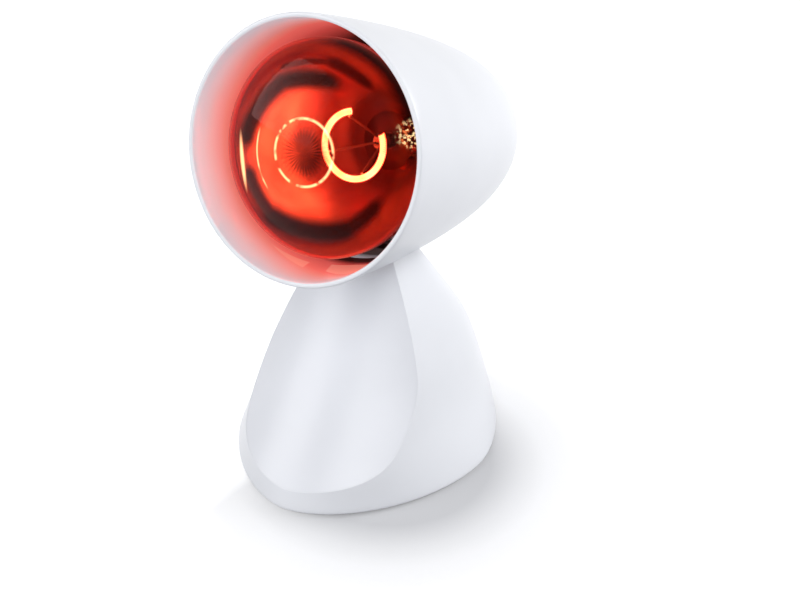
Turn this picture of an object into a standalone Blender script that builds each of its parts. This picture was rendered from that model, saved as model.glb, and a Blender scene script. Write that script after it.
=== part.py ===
"""Infrared heat therapy lamp: a bell-shaped hood with a reflector bulb, tilting on a weighted base.

Metres, +Z up. The lamp faces -Y and rests on its rubber feet at Z = 0. The origin is on the table,
at the centre of the lamp's outer box. The head is drawn at the tilt that it has at rest.
"""
import math

import bmesh
import bpy
from mathutils import Matrix, Vector

# Driving sizes of the base, with its sections measured from the centre of its footprint
base_half_width = 0.0666
base_front_reach = 0.0796
base_rear_reach = 0.0790
base_height = 0.1100
base_centre_y = -0.0144
neck_offset = 0.0057
neck_step = 0.0005
neck_top = base_height - neck_step
neck_rounding = 0.0030
shell_wall = 0.0024
rim_height = 0.0010
rim_rounding = 0.0016
gap = 0.0003
overrun = 0.0200
foot_power_share = 1.7
neck_power_share = 2.3

# Height, half width, front reach and rear reach of the base's sections, as shares
base_section_shares = (
    (0.000, 1.000, 1.000, 1.000),
    (0.109, 0.905, 0.961, 0.971),
    (0.273, 0.766, 0.928, 0.903),
    (0.500, 0.637, 0.879, 0.708),
    (0.727, 0.477, 0.843, 0.459),
    (1.000, 0.246, 0.800, 0.148),
)
# Height and forward reach of the front face on the middle line, as shares
face_line_shares = (
    (0.073, 0.990),
    (0.227, 0.794),
    (0.4545, 0.540),
    (0.727, 0.310),
    (1.000, 0.102),
)
face_crown_fall = 0.046987
cover_thickness = 0.0026
cover_lip = 0.0008

# Bottom plate, feet, plate screws and ballast
plate_bottom = 0.0012
plate_thickness = 0.0022
foot_radius = 0.0060
foot_height = 0.0019
foot_x_share = 0.45045
foot_front_share = 0.628141
foot_rear_share = 0.632911
foot_seat_clearance = 0.0003
boss_x_share = 0.645645
boss_front_share = 0.376884
boss_rear_share = 0.379747
boss_radius = 0.0040
boss_top = 0.0340
screw_radius = 0.0015
screw_head_radius = 0.0030
screw_head_height = 0.0016
head_crown_share = 0.6
head_side_share = 0.4
plate_screw_length = 0.0120
screw_pocket_depth = 0.0011
plate_screw_head_height = 0.0010
ballast_clearance = 0.0040
ballast_length = 0.0620
ballast_thickness = 0.0080
ballast_corner = 0.0060
ballast_y = -0.0100
ballast_screw_y = 0.0200
ballast_screw_length = 0.0096

# Terminal block
block_width = 0.0200
block_length = 0.0140
block_height = 0.0120
block_y = 0.0420
block_hole_radius = 0.0022
block_hole_x = 0.0050
block_screw_hole_radius = 0.0018

# Head: lengths run back from the mouth, heights are off the hood's own axis
head_lift_degrees = 17.5
mouth_radius = 0.0574
hood_curve_length = 0.1643
hood_taper_share = 1.281
hood_round_share = 4.18
cap_start_share = 0.928
hood_length = 0.1650
hood_wall = 0.0024
lip_rounding = 0.0009
pivot_y = 0.0050
pivot_rise = 0.0080
pivot_depth = 0.0715
pivot_drop = 0.03555
slot_half_width = 0.0215
slot_clearance = 0.0012
slot_drop = 0.0295
tilt_step_degrees = 8.0
tilt_steps_up = 1
tilt_steps_down = 3
vent_width = 0.0024
vent_pitch = 0.0060
vent_reach = 0.0190
vents_each_side = 2

# Pivot: knuckle on the neck, and what is threaded on the bolt
knuckle_radius = 0.0070
knuckle_half_width = 0.0145
cheek_thickness = 0.0065
wheel_radius = 0.0086
wheel_thickness = 0.0020
notch_depth = 0.0009
notch_half_degrees = 2.6
bolt_radius = 0.0025
bolt_head_radius = 0.0042
bolt_head_height = 0.0028
nut_radius = 0.0046
nut_thickness = 0.0035
bolt_end = 0.0008
washer_radius = 0.0050
washer_thickness = 0.0010

# Lamp bracket, bent from sheet steel
sheet = 0.0015
ear_radius = 0.0070
bridge_top = -0.0231
bridge_start = 0.0800
wing_start = 0.1180
wing_end = 0.1320
wing_half_width = 0.0265
upright_half_width = 0.0180
upright_height = 0.0160
hood_boss_x = 0.0220
hood_boss_radius = 0.0040
bracket_screw_length = 0.0070

# Detent spring
leaf_thickness = 0.0005
leaf_width = 0.0056
leaf_tail = 0.0060
leaf_slope_length = 0.0085
leaf_end_length = 0.0050
leaf_flare = 0.0014
leaf_crest_length = 0.0018
rivet_from_bend = 0.0150
rivet_radius = 0.0012
rivet_head_radius = 0.0021
rivet_head_height = 0.0008

# Lampholder
holder_start = 0.1035
holder_length = 0.0385
holder_radius = 0.0205
holder_mouth_radius = 0.0185
holder_bore = 0.0160
holder_floor = 0.0070
holder_collar_share = 0.2
holder_shoulder_share = 0.35
holder_screw_x = 0.0090
thread_pitch = 0.0036
thread_height = 0.0005
socket_thread_radius = 0.0148
socket_thread_wall = 0.0005
socket_thread_start = 0.1065
socket_thread_turns = 4
contact_strip_width = 0.0050
contact_strip_thickness = 0.0005
contact_strip_reach = 0.0100
contact_bend_height = 0.0050
contact_tongue_top = 0.0030
contact_tongue_low = 0.0035

# Bulb
bulb_radius = 0.0475
bulb_tip_depth = 0.0015
bulb_wide_depth = 0.0200
bulb_neck_radius = 0.0170
bulb_neck_depth = 0.0880
bulb_end_depth = 0.1060
bulb_end_radius = 0.0116
glass_wall = 0.0010
dome_power_share = 2.3
cone_power_share = 1.15
cap_depth = 0.1005
cap_skirt_radius = 0.0140
cap_skirt_length = 0.0030
cap_thread_radius = 0.0132
cap_wall = 0.0005
cap_thread_turns = 5
insulator_radius = 0.0100
insulator_length = 0.0032
end_contact_radius = 0.0048
end_contact_thickness = 0.0012
end_contact_tip_radius = 0.0034
insulator_rim_radius = 0.0095
filament_depth = 0.0450
filament_ring_radius = 0.0150
filament_wire_radius = 0.0011
filament_start_degrees = 104.0
filament_sweep_degrees = 286.0
lead_shares = (0.02, 0.98)
support_shares = (0.35, 0.68)
lead_radius = 0.0006
stem_top_depth = 0.0680
stem_top_radius = 0.0036
stem_waist_radius = 0.0050
stem_foot_radius = 0.0096
mount_knee_radius = 0.0105
mount_knee_step = 0.0055
disc_radius = 0.0140
disc_thickness = 0.0006
disc_depth = 0.0780

# Rocker switch in the rear wall, and the cord's grommet below it
switch_height = 0.0400
switch_seat_depth = 0.0014
bezel_half_width = 0.0085
bezel_half_length = 0.0115
bezel_thickness = 0.0018
bezel_rounding = 0.0006
switch_body_half_width = 0.0065
switch_body_half_length = 0.0100
switch_body_depth = 0.0140
switch_well_half_width = 0.0053
switch_well_half_length = 0.0089
switch_well_depth = 0.0085
switch_pad_margin = 0.0025
rocker_half_width = 0.0049
rocker_half_length = 0.0080
rocker_rise = 0.0016
rocker_dip = 0.0005
rocker_keel = 0.0040
rocker_keel_reach = 0.0024
rocker_axis_depth = 0.0010
rocker_swing_degrees = 7.0
rocker_pin_radius = 0.0010
rocker_pin_reach = 0.0060
tab_width = 0.0048
tab_thickness = 0.0008
tab_length = 0.0070
tab_spacing = 0.0050
grommet_height = 0.0160
grommet_seat_depth = 0.0010
grommet_flange_radius = 0.0075
grommet_flange_thickness = 0.0018
grommet_neck_radius = 0.0048
grommet_lock_radius = 0.0062
grommet_lock_thickness = 0.0016
grommet_grip = 0.0024
grommet_bore = 0.0032

# Counts of facets and points
base_facets = 44
base_rings = 8
rounding_rings = 2
hood_facets = 44
hood_points = 8
hood_crowding_share = 1.3
cap_points = 4
bulb_facets = 32
dome_points = 5
cone_points = 7
thread_facets = 12
small_facets = 16
tiny_facets = 8
filament_points = 24
face_columns = 20
face_rows = 16

weld_distance = 0.00001
flat_degrees = 0.1


def clear_scene():
    """Remove every object and collection of the open file."""
    for item in list(bpy.data.objects):
        bpy.data.objects.remove(item, do_unlink=True)
    for group in list(bpy.data.collections):
        bpy.data.collections.remove(group)


def new_collection(name):
    group = bpy.data.collections.new(name)
    bpy.context.scene.collection.children.link(group)
    return group


clear_scene()
lamp = new_collection("infrared_heat_lamp")
cutters = new_collection("cutters")


def plastic_or_metal(name, colour, roughness, metallic=0.0, transmission=0.0):
    """A Principled material with one colour."""
    material = bpy.data.materials.new(name)
    material.use_nodes = True
    shader = material.node_tree.nodes["Principled BSDF"]
    shader.inputs["Base Color"].default_value = (*colour, 1.0)
    shader.inputs["Roughness"].default_value = roughness
    shader.inputs["Metallic"].default_value = metallic
    shader.inputs["Transmission Weight"].default_value = transmission
    return material


def frame_from(columns, origin):
    """A matrix that takes drawing axes to the three columns given, about an origin."""
    matrix = Matrix.Identity(4)
    for index, column in enumerate(columns):
        for row in range(len(column)):
            matrix[row][index] = column[row]
    matrix.translation = Vector(origin)
    return matrix


head_turn = math.radians(90.0 - head_lift_degrees)
pivot_height = base_height + pivot_rise
pivot_world = Vector((0.0, base_centre_y + pivot_y, pivot_height))
head_frame = Matrix.Translation(pivot_world) @ Matrix.Rotation(head_turn, 4, "X")
pivot_in_head = Vector((0.0, -pivot_drop, -pivot_depth))
base_frame = Matrix.Translation((0.0, base_centre_y, 0.0))


def link(item, group):
    for other in list(item.users_collection):
        other.objects.unlink(item)
    group.objects.link(item)


def mesh_object(name, work):
    """Make an object from a bmesh."""
    mesh = bpy.data.meshes.new(name)
    work.to_mesh(mesh)
    work.free()
    item = bpy.data.objects.new(name, mesh)
    cutters.objects.link(item)
    return item


def bake(item, flatten=False):
    """Apply every modifier of an object, or turn a curve into a mesh, and weld loose seams."""
    bpy.context.view_layer.update()
    graph = bpy.context.evaluated_depsgraph_get()
    mesh = bpy.data.meshes.new_from_object(item.evaluated_get(graph))
    work = bmesh.new()
    work.from_mesh(mesh)
    bmesh.ops.remove_doubles(work, verts=work.verts, dist=weld_distance)
    if flatten:
        bmesh.ops.dissolve_limit(work, angle_limit=math.radians(flat_degrees), verts=work.verts,
                                 edges=work.edges)
        bmesh.ops.recalc_face_normals(work, faces=work.faces)
    work.to_mesh(mesh)
    work.free()
    result = bpy.data.objects.new(item.name, mesh)
    result.matrix_world = item.matrix_world.copy()
    cutters.objects.link(result)
    name = item.name
    bpy.data.objects.remove(item, do_unlink=True)
    result.name = name
    return result


def combine(item, other, operation):
    """Join, cut or keep the common part of two bodies, and drop the second."""
    modifier = item.modifiers.new("combine", "BOOLEAN")
    modifier.operation = operation
    modifier.object = other
    modifier.solver = "EXACT"
    result = bake(item)
    bpy.data.objects.remove(other, do_unlink=True)
    return result


def cut(item, *others):
    for other in others:
        item = combine(item, other, "DIFFERENCE")
    return item


def join(item, *others):
    for other in others:
        item = combine(item, other, "UNION")
    return item


def common(item, other):
    return combine(item, other, "INTERSECT")


def cylinder(name, radius, start, end, frame, facets=small_facets):
    """A round bar along the frame's third axis, from start to end."""
    work = bmesh.new()
    place = Matrix.Translation((0.0, 0.0, (start + end) / 2))
    bmesh.ops.create_cone(work, cap_ends=True, segments=facets, radius1=radius, radius2=radius,
                          depth=abs(end - start), matrix=frame @ place)
    return mesh_object(name, work)


def box(name, low, high, frame):
    """A block between two corners in the frame."""
    work = bmesh.new()
    low = Vector(low)
    high = Vector(high)
    size = Matrix.Diagonal((*(high - low), 1.0))
    bmesh.ops.create_cube(work, size=1.0, matrix=frame @ Matrix.Translation((low + high) / 2) @ size)
    return mesh_object(name, work)


def extruded(name, outline, start, end, frame):
    """A flat outline, filled, and carried along the frame's third axis from start to end."""
    curve = bpy.data.curves.new(name, "CURVE")
    curve.dimensions = "2D"
    curve.fill_mode = "BOTH"
    curve.extrude = abs(end - start) / 2
    spline = curve.splines.new("POLY")
    spline.points.add(len(outline) - 1)
    for point, place in zip(spline.points, outline):
        point.co = (place[0], place[1], 0.0, 1.0)
    spline.use_cyclic_u = True
    item = bpy.data.objects.new(name, curve)
    item.matrix_world = frame @ Matrix.Translation((0.0, 0.0, (start + end) / 2))
    cutters.objects.link(item)
    return bake(item, flatten=True)


def turned(name, profile, frame, facets=small_facets, closed=False):
    """A profile of radius and height, from top to bottom on its outer side, turned about an axis."""
    work = bmesh.new()
    points = [work.verts.new((radius, 0.0, height)) for radius, height in profile]
    for first, second in zip(points, points[1:]):
        work.edges.new((first, second))
    if closed:
        work.edges.new((points[-1], points[0]))
    item = mesh_object(name, work)
    item.matrix_world = frame
    screw = item.modifiers.new("turn", "SCREW")
    screw.axis = "Z"
    screw.angle = math.tau
    screw.steps = facets
    screw.render_steps = facets
    screw.use_merge_vertices = True
    screw.merge_threshold = weld_distance
    return bake(item)


def wire(name, points, radius, frame, resolution=2):
    """A round wire through a list of points."""
    curve = bpy.data.curves.new(name, "CURVE")
    curve.dimensions = "3D"
    curve.bevel_depth = radius
    curve.bevel_resolution = resolution
    curve.use_fill_caps = True
    spline = curve.splines.new("POLY")
    spline.points.add(len(points) - 1)
    for point, place in zip(spline.points, points):
        point.co = (*place, 1.0)
    item = bpy.data.objects.new(name, curve)
    item.matrix_world = frame
    cutters.objects.link(item)
    return bake(item)


def loft(name, rings, frame):
    """A closed body through rings of equal counts of points, from the lowest up."""
    work = bmesh.new()
    rows = [[work.verts.new(frame @ Vector(place)) for place in ring] for ring in rings]
    count = len(rows[0])
    for lower, upper in zip(rows, rows[1:]):
        for index in range(count):
            after = (index + 1) % count
            work.faces.new((lower[index], lower[after], upper[after], upper[index]))
    work.faces.new(list(reversed(rows[0])))
    work.faces.new(rows[-1])
    return mesh_object(name, work)


def finish(item, material, sharp_degrees=35.0, parent=None):
    """Put a finished sub-part in the lamp's collection, with its material and its parent."""
    link(item, lamp)
    item.data.materials.clear()
    item.data.materials.append(material)
    item.data.shade_smooth()
    item.data.set_sharp_from_angle(angle=math.radians(sharp_degrees))
    if parent is not None:
        matrix = item.matrix_world.copy()
        item.parent = parent
        item.matrix_parent_inverse = parent.matrix_world.inverted()
        item.matrix_world = matrix
    return item


def axis_empty(name, frame):
    empty = bpy.data.objects.new(name, None)
    empty.matrix_world = frame
    lamp.objects.link(empty)
    bpy.context.view_layer.update()
    return empty


def smooth_value(table, column, place):
    """A smooth curve through the rows of a table, read at a place of its first column."""
    places = [row[0] for row in table]
    values = [row[column] for row in table]
    count = len(table)
    place = min(max(place, places[0]), places[-1])
    index = 0
    while index < count - 2 and place > places[index + 1]:
        index += 1
    slopes = []
    for at in (index, index + 1):
        before = max(at - 1, 0)
        after = min(at + 1, count - 1)
        slopes.append((values[after] - values[before]) / (places[after] - places[before]))
    width = places[index + 1] - places[index]
    t = (place - places[index]) / width
    rise = values[index + 1] - values[index]
    bend_start = slopes[0] * width - rise
    bend_end = rise - slopes[1] * width
    return values[index] + t * rise + t * (1 - t) * ((1 - t) * bend_start + t * bend_end)


# Materials
white_abs = plastic_or_metal("white_abs", (0.86, 0.87, 0.89), 0.32)
white_cover = plastic_or_metal("white_cover_abs", (0.84, 0.85, 0.88), 0.36)
white_rocker = plastic_or_metal("white_rocker", (0.80, 0.81, 0.83), 0.30)
grey_plastic = plastic_or_metal("grey_plastic", (0.55, 0.56, 0.58), 0.5)
black_rubber = plastic_or_metal("black_rubber", (0.02, 0.02, 0.02), 0.8)
zinc_steel = plastic_or_metal("zinc_steel", (0.60, 0.61, 0.63), 0.35, 1.0)
ballast_steel = plastic_or_metal("ballast_steel", (0.25, 0.26, 0.28), 0.55, 1.0)
brass = plastic_or_metal("brass", (0.78, 0.60, 0.28), 0.3, 1.0)
aluminium = plastic_or_metal("aluminium", (0.80, 0.80, 0.81), 0.3, 1.0)
ceramic = plastic_or_metal("ceramic", (0.82, 0.79, 0.72), 0.4)
ruby_glass = plastic_or_metal("ruby_glass", (0.75, 0.03, 0.01), 0.05, 0.0, 0.6)
silvered_glass = plastic_or_metal("silvered_glass", (0.78, 0.76, 0.75), 0.12, 1.0)
clear_glass = plastic_or_metal("clear_glass", (0.85, 0.88, 0.88), 0.05, 0.0, 0.8)
black_glass = plastic_or_metal("black_glass", (0.03, 0.03, 0.035), 0.15)
tungsten = plastic_or_metal("tungsten", (1.0, 0.85, 0.45), 0.4, 1.0)


def base_reach(height, inset=0.0):
    """Half width, front reach, rear reach and middle of the base's section at a height."""
    share = height / base_height
    half_width = base_half_width * smooth_value(base_section_shares, 1, share) - inset
    front = base_front_reach * smooth_value(base_section_shares, 2, share) - inset
    rear = base_rear_reach * smooth_value(base_section_shares, 3, share) - inset
    return half_width, front, rear, neck_offset * share


def base_power(height):
    """How square the section is: pointed at the foot, rounder at the neck."""
    share = min(max(height / (base_height / 2), 0.0), 1.0)
    return foot_power_share + (neck_power_share - foot_power_share) * share


def section_ring(height, inset, level=None, extra=0.0):
    """Points round the base's section at a height, drawn at a level that may differ from it."""
    half_width, front, rear, middle = base_reach(height, inset + extra)
    power = 2 / base_power(height)
    ring = []
    for index in range(base_facets):
        angle = math.tau * index / base_facets
        across = math.cos(angle)
        along = math.sin(angle)
        x = half_width * math.copysign(abs(across) ** power, across)
        reach = rear if along > 0 else front
        y = middle + reach * math.copysign(abs(along) ** power, along)
        ring.append((x, y, height if level is None else level))
    return ring


def base_body(name, inset, bottom, bottom_rounding, top, top_rounding):
    """The base's outer form, drawn in by an inset, with its lower and upper edges rounded."""
    rings = []
    for step in range(rounding_rings):
        turn = math.pi / 2 * step / rounding_rings
        level = bottom + bottom_rounding * (1 - math.cos(turn))
        rings.append(section_ring(max(level, 0.0), inset, level, bottom_rounding * (1 - math.sin(turn))))
    start = bottom + bottom_rounding
    stop = top - top_rounding
    for step in range(base_rings + 1):
        level = start + (stop - start) * step / base_rings
        rings.append(section_ring(max(level, 0.0), inset, level))
    for step in range(1, rounding_rings + 1):
        turn = math.pi / 2 * step / rounding_rings
        level = stop + top_rounding * math.sin(turn)
        rings.append(section_ring(level, inset, level, top_rounding * (1 - math.cos(turn))))
    return loft(name, rings, base_frame)


def face_line(height):
    """How far forward the front face lies on the middle line."""
    return -base_front_reach * smooth_value(face_line_shares, 1, height / base_height)


def face_slab(name, front, back):
    """A body between two copies of the crowned front face, moved forward and back."""
    low = -overrun
    high = base_height + overrun
    half = base_half_width + overrun
    work = bmesh.new()
    bmesh.ops.create_grid(work, x_segments=face_columns, y_segments=face_rows, size=1.0)
    for vertex in work.verts:
        x = vertex.co.x * half
        z = low + (high - low) * (vertex.co.y + 1) / 2
        crown = face_crown_fall * (x / base_half_width) ** 2
        vertex.co = Vector((x, base_centre_y + extended_face_line(z) + crown - front, z))
    faces = work.faces[:]
    grown = bmesh.ops.extrude_face_region(work, geom=faces)
    moved = [part for part in grown["geom"] if isinstance(part, bmesh.types.BMVert)]
    bmesh.ops.translate(work, verts=moved, vec=(0.0, front + back, 0.0))
    bmesh.ops.recalc_face_normals(work, faces=work.faces)
    return mesh_object(name, work)


def extended_face_line(height):
    """The face line, carried straight on past both of its ends."""
    low = face_line_shares[0][0] * base_height
    high = face_line_shares[-1][0] * base_height
    step = (high - low) / face_rows
    if height < low:
        return face_line(low) + (height - low) * (face_line(low + step) - face_line(low)) / step
    if height > high:
        return face_line(high) + (height - high) * (face_line(high) - face_line(high - step)) / step
    return face_line(height)


def rear_wall_frame(height, depth):
    """A frame on the rear wall's middle line: drawing X to -X, Y up the wall, Z out of it."""
    step = base_height / base_rings
    above = base_reach(height + step / 2)
    below = base_reach(height - step / 2)
    lean = math.atan2((below[2] + below[3]) - (above[2] + above[3]), step)
    here = base_reach(height)
    outward = Vector((0.0, math.cos(lean), math.sin(lean)))
    upward = Vector((0.0, -math.sin(lean), math.cos(lean)))
    origin = Vector((0.0, base_centre_y + here[2] + here[3], height)) - outward * depth
    return frame_from(((-1.0, 0.0, 0.0), upward, outward), origin)


def side_frame(x, y, z):
    """A frame for outlines of Y and Z, carried along X."""
    return frame_from(((0.0, 1.0, 0.0), (0.0, 0.0, 1.0), (1.0, 0.0, 0.0)), (x, y, z))


def circle_points(radius, count, start=0.0, sweep=math.tau, centre=(0.0, 0.0)):
    """Points on an arc; a full turn leaves out the last point, which would repeat the first."""
    steps = count if abs(sweep) >= math.tau else count - 1
    points = []
    for index in range(count):
        angle = start + sweep * index / steps
        points.append((centre[0] + radius * math.cos(angle), centre[1] + radius * math.sin(angle)))
    return points


def rounded_rectangle(half_width, half_length, corner, points_each=4):
    """An outline with round corners, about the drawing's origin."""
    outline = []
    for index, (sign_x, sign_y) in enumerate(((1, 1), (-1, 1), (-1, -1), (1, -1))):
        centre = (sign_x * (half_width - corner), sign_y * (half_length - corner))
        start = index * math.pi / 2
        outline += circle_points(corner, points_each, start, math.pi / 2, centre)
    return outline


def strip_outline(line, thickness):
    """The outline of a thin strip that follows a line of points."""
    left = []
    right = []
    for index, place in enumerate(line):
        before = Vector(line[max(index - 1, 0)])
        after = Vector(line[min(index + 1, len(line) - 1)])
        along = (after - before).normalized()
        aside = Vector((-along.y, along.x)) * thickness / 2
        left.append(tuple(Vector(place) + aside))
        right.append(tuple(Vector(place) - aside))
    return left + right[::-1]


def stadium(half_width, half_length, points_each=5):
    """A slot outline with round ends, long in the drawing's Y."""
    straight = half_length - half_width
    outline = circle_points(half_width, points_each, 0.0, math.pi, (0.0, straight))
    outline += circle_points(half_width, points_each, math.pi, math.pi, (0.0, -straight))
    return outline


# Base

switch_frame = rear_wall_frame(switch_height, switch_seat_depth)
grommet_frame = rear_wall_frame(grommet_height, grommet_seat_depth)
wall_screw_hole = screw_radius + gap
plate_top = plate_bottom + plate_thickness
boss_x = base_half_width * boss_x_share
boss_front = base_front_reach * boss_front_share
boss_rear = base_rear_reach * boss_rear_share
foot_x = base_half_width * foot_x_share
foot_front = base_front_reach * foot_front_share
foot_rear = base_rear_reach * foot_rear_share
ballast_half_width = boss_x - boss_radius - ballast_clearance
boss_places = [(x, y) for x in (-boss_x, boss_x) for y in (-boss_front, boss_rear)]
foot_places = [(x, y) for x in (-foot_x, foot_x) for y in (-foot_front, foot_rear)]
cover_back = cover_thickness + gap
across_pivot = side_frame(*pivot_world)


def make_base_shell():
    """The bell-shaped moulding: thin wall, open front with a rebate, bosses, knuckle and rear openings."""
    shell = base_body("base_shell", 0.0, rim_height, rim_rounding, neck_top, neck_rounding)
    cavity_rings = [section_ring(0.0, shell_wall, -overrun)]
    ceiling = neck_top - shell_wall
    for step in range(base_rings + 1):
        level = ceiling * step / base_rings
        cavity_rings.append(section_ring(level, shell_wall, level))
    shell = cut(shell, loft("cavity", cavity_rings, base_frame))
    for x, y in boss_places:
        frame = base_frame @ Matrix.Translation((x, y, 0.0))
        boss = cylinder("boss", boss_radius, plate_top + gap, boss_top, frame)
        boss = common(boss, base_body("core", shell_wall / 2, 0.0, 0.0, neck_top - shell_wall / 2, 0.0))
        shell = join(shell, boss)
    pad_x = bezel_half_width + switch_pad_margin
    pad_y = bezel_half_length + switch_pad_margin
    pad = box("switch_pad", (-pad_x, -pad_y, -shell_wall), (pad_x, pad_y, shell_wall), switch_frame)
    pad = common(pad, base_body("core", shell_wall / 2, 0.0, 0.0, neck_top - shell_wall / 2, 0.0))
    shell = join(shell, pad)
    shell = cut(shell, face_slab("front_cut", overrun * 3, 0.0))
    rebate = base_body("rebate", cover_lip, -overrun, 0.0, neck_top - cover_lip, 0.0)
    shell = cut(shell, common(rebate, face_slab("front_cut", overrun * 3, cover_back)))
    shell = make_knuckle(shell)
    for x, y in boss_places:
        frame = base_frame @ Matrix.Translation((x, y, 0.0))
        pilot = cylinder("pilot", wall_screw_hole, 0.0, plate_screw_length + gap * 2, frame, tiny_facets)
        shell = cut(shell, pilot)
    seat_x = bezel_half_width + gap
    seat_y = bezel_half_length + gap
    seat = extruded("seat", rounded_rectangle(seat_x, seat_y, bezel_rounding * 3), 0.0, overrun, switch_frame)
    hole_x = switch_body_half_width + gap
    hole_y = switch_body_half_length + gap
    hole = box("hole", (-hole_x, -hole_y, -overrun), (hole_x, hole_y, overrun / 2), switch_frame)
    spot = cylinder("spot", grommet_flange_radius + gap, 0.0, overrun, grommet_frame)
    bore = cylinder("bore", grommet_neck_radius + gap, -overrun / 2, overrun, grommet_frame)
    return cut(shell, seat, hole, spot, bore)


def make_knuckle(shell):
    """Two cheeks on top of the neck that carry the pivot bolt, with room for the wires between them."""
    inner = knuckle_half_width - cheek_thickness
    foot = neck_top - shell_wall / 2 - pivot_height
    for side in (-1, 1):
        low = min(side * inner, side * knuckle_half_width)
        high = max(side * inner, side * knuckle_half_width)
        outline = circle_points(knuckle_radius, small_facets // 2 + 1, 0.0, math.pi)
        outline += [(-knuckle_radius, foot), (knuckle_radius, foot)]
        shell = join(shell, extruded("cheek", outline, low, high, across_pivot))
    passage = box("passage", (-inner, -knuckle_radius + shell_wall, -overrun),
                  (inner, knuckle_radius - shell_wall, 0.0),
                  Matrix.Translation((0.0, pivot_world.y, neck_top + gap)))
    half = knuckle_half_width + gap
    hole = cylinder("bolt_hole", bolt_radius + gap, -half, half, across_pivot)
    return cut(shell, passage, hole)


def make_front_cover():
    """The teardrop panel: the base's form kept between two copies of its crowned front face."""
    body = base_body("front_cover", cover_lip + gap, -overrun, 0.0, neck_top - cover_lip - gap, 0.0)
    return common(body, face_slab("cover_slab", 0.0, cover_thickness))


def make_bottom_plate():
    """The flat plate that closes the base, with its screw holes and the seats of the feet."""
    ring = section_ring(plate_top, shell_wall + gap)
    plate = extruded("bottom_plate", [(x, y) for x, y, z in ring], plate_bottom, plate_top, base_frame)
    for x, y in boss_places:
        frame = base_frame @ Matrix.Translation((x, y, 0.0))
        plate = cut(plate, cylinder("hole", wall_screw_hole, 0.0, overrun, frame, tiny_facets))
        pocket_top = plate_bottom + screw_pocket_depth
        pocket = cylinder("pocket", screw_head_radius + gap, 0.0, pocket_top, frame, tiny_facets)
        plate = cut(plate, pocket)
    for x, y in foot_places:
        frame = base_frame @ Matrix.Translation((x, y, 0.0))
        top = foot_height + foot_seat_clearance
        plate = cut(plate, cylinder("foot_seat", foot_radius + gap, 0.0, top, frame))
    for y in (ballast_y - ballast_screw_y, ballast_y + ballast_screw_y):
        frame = base_frame @ Matrix.Translation((0.0, y, 0.0))
        plate = cut(plate, cylinder("hole", wall_screw_hole, 0.0, overrun, frame, tiny_facets))
    return plate


def make_screw(name, length, frame, head_height=screw_head_height):
    """A round-headed screw: its head's underside is at the frame's origin, its shank runs down."""
    head_radius = screw_head_radius
    profile = [
        (0.0, head_height),
        (head_radius * head_crown_share, head_height),
        (head_radius, head_height * head_side_share),
        (head_radius, 0.0),
        (screw_radius, 0.0),
        (screw_radius, screw_radius - length),
        (0.0, -length),
    ]
    return turned(name, profile, frame, tiny_facets)


def make_base():
    finish(make_base_shell(), white_abs)
    finish(make_front_cover(), white_cover)
    finish(make_bottom_plate(), grey_plastic)
    upside_down = Matrix.Rotation(math.pi, 4, "X")
    seat = plate_bottom + screw_pocket_depth - gap
    for number, (x, y) in enumerate(boss_places, 1):
        frame = base_frame @ Matrix.Translation((x, y, seat)) @ upside_down
        screw = make_screw(f"plate_screw_{number}", plate_screw_length - seat, frame, plate_screw_head_height)
        finish(screw, zinc_steel)
    for number, (x, y) in enumerate(foot_places, 1):
        frame = base_frame @ Matrix.Translation((x, y, 0.0))
        foot = cylinder(f"foot_{number}", foot_radius, 0.0, foot_height, frame)
        finish(foot, black_rubber)
    ballast_bottom = plate_top + gap
    ballast_top = ballast_bottom + ballast_thickness
    outline = rounded_rectangle(ballast_half_width, ballast_length / 2, ballast_corner)
    frame = base_frame @ Matrix.Translation((0.0, ballast_y, 0.0))
    ballast = extruded("ballast", outline, ballast_bottom, ballast_top, frame)
    for number, side in enumerate((-1, 1), 1):
        hole_frame = frame @ Matrix.Translation((0.0, side * ballast_screw_y, 0.0))
        ballast = cut(ballast, cylinder("hole", wall_screw_hole, 0.0, overrun, hole_frame, tiny_facets))
        screw_frame = hole_frame @ Matrix.Translation((0.0, 0.0, ballast_top + gap))
        finish(make_screw(f"ballast_screw_{number}", ballast_screw_length, screw_frame), zinc_steel)
    finish(ballast, ballast_steel)
    make_terminal_block()
    make_grommet()


def make_terminal_block():
    """A two-way block for the mains leads, on the bottom plate behind the ballast."""
    bottom = plate_top + gap
    frame = base_frame @ Matrix.Translation((0.0, block_y, bottom))
    half_x = block_width / 2
    half_y = block_length / 2
    block = box("terminal_block", (-half_x, -half_y, 0.0), (half_x, half_y, block_height), frame)
    along = frame @ Matrix.Translation((0.0, 0.0, block_height / 2)) @ Matrix.Rotation(math.pi / 2, 4, "X")
    down = frame @ Matrix.Translation((0.0, 0.0, block_height / 2))
    for side in (-1, 1):
        place = Matrix.Translation((side * block_hole_x, 0.0, 0.0))
        wire_hole = cylinder("wire_hole", block_hole_radius, -overrun, overrun, along @ place, tiny_facets)
        radius = block_screw_hole_radius
        block = cut(block, wire_hole, cylinder("screw_hole", radius, 0.0, overrun, down @ place, tiny_facets))
    finish(block, grey_plastic)


def make_grommet():
    """The rubber grommet of the cord's inlet, gripping the rear wall."""
    neck = grommet_neck_radius
    lock_top = -grommet_grip
    profile = [
        (grommet_bore, gap + grommet_flange_thickness),
        (grommet_flange_radius - grommet_flange_thickness / 2, gap + grommet_flange_thickness),
        (grommet_flange_radius, gap + grommet_flange_thickness / 2),
        (grommet_flange_radius, gap),
        (neck, gap),
        (neck, lock_top),
        (grommet_lock_radius, lock_top),
        (neck, lock_top - grommet_lock_thickness),
        (grommet_bore, lock_top - grommet_lock_thickness),
    ]
    finish(turned("cord_grommet", profile, grommet_frame, small_facets, closed=True), black_rubber)


# Switch

rocker_frame = switch_frame @ Matrix.Translation((0.0, 0.0, bezel_thickness + gap - rocker_axis_depth))


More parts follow.
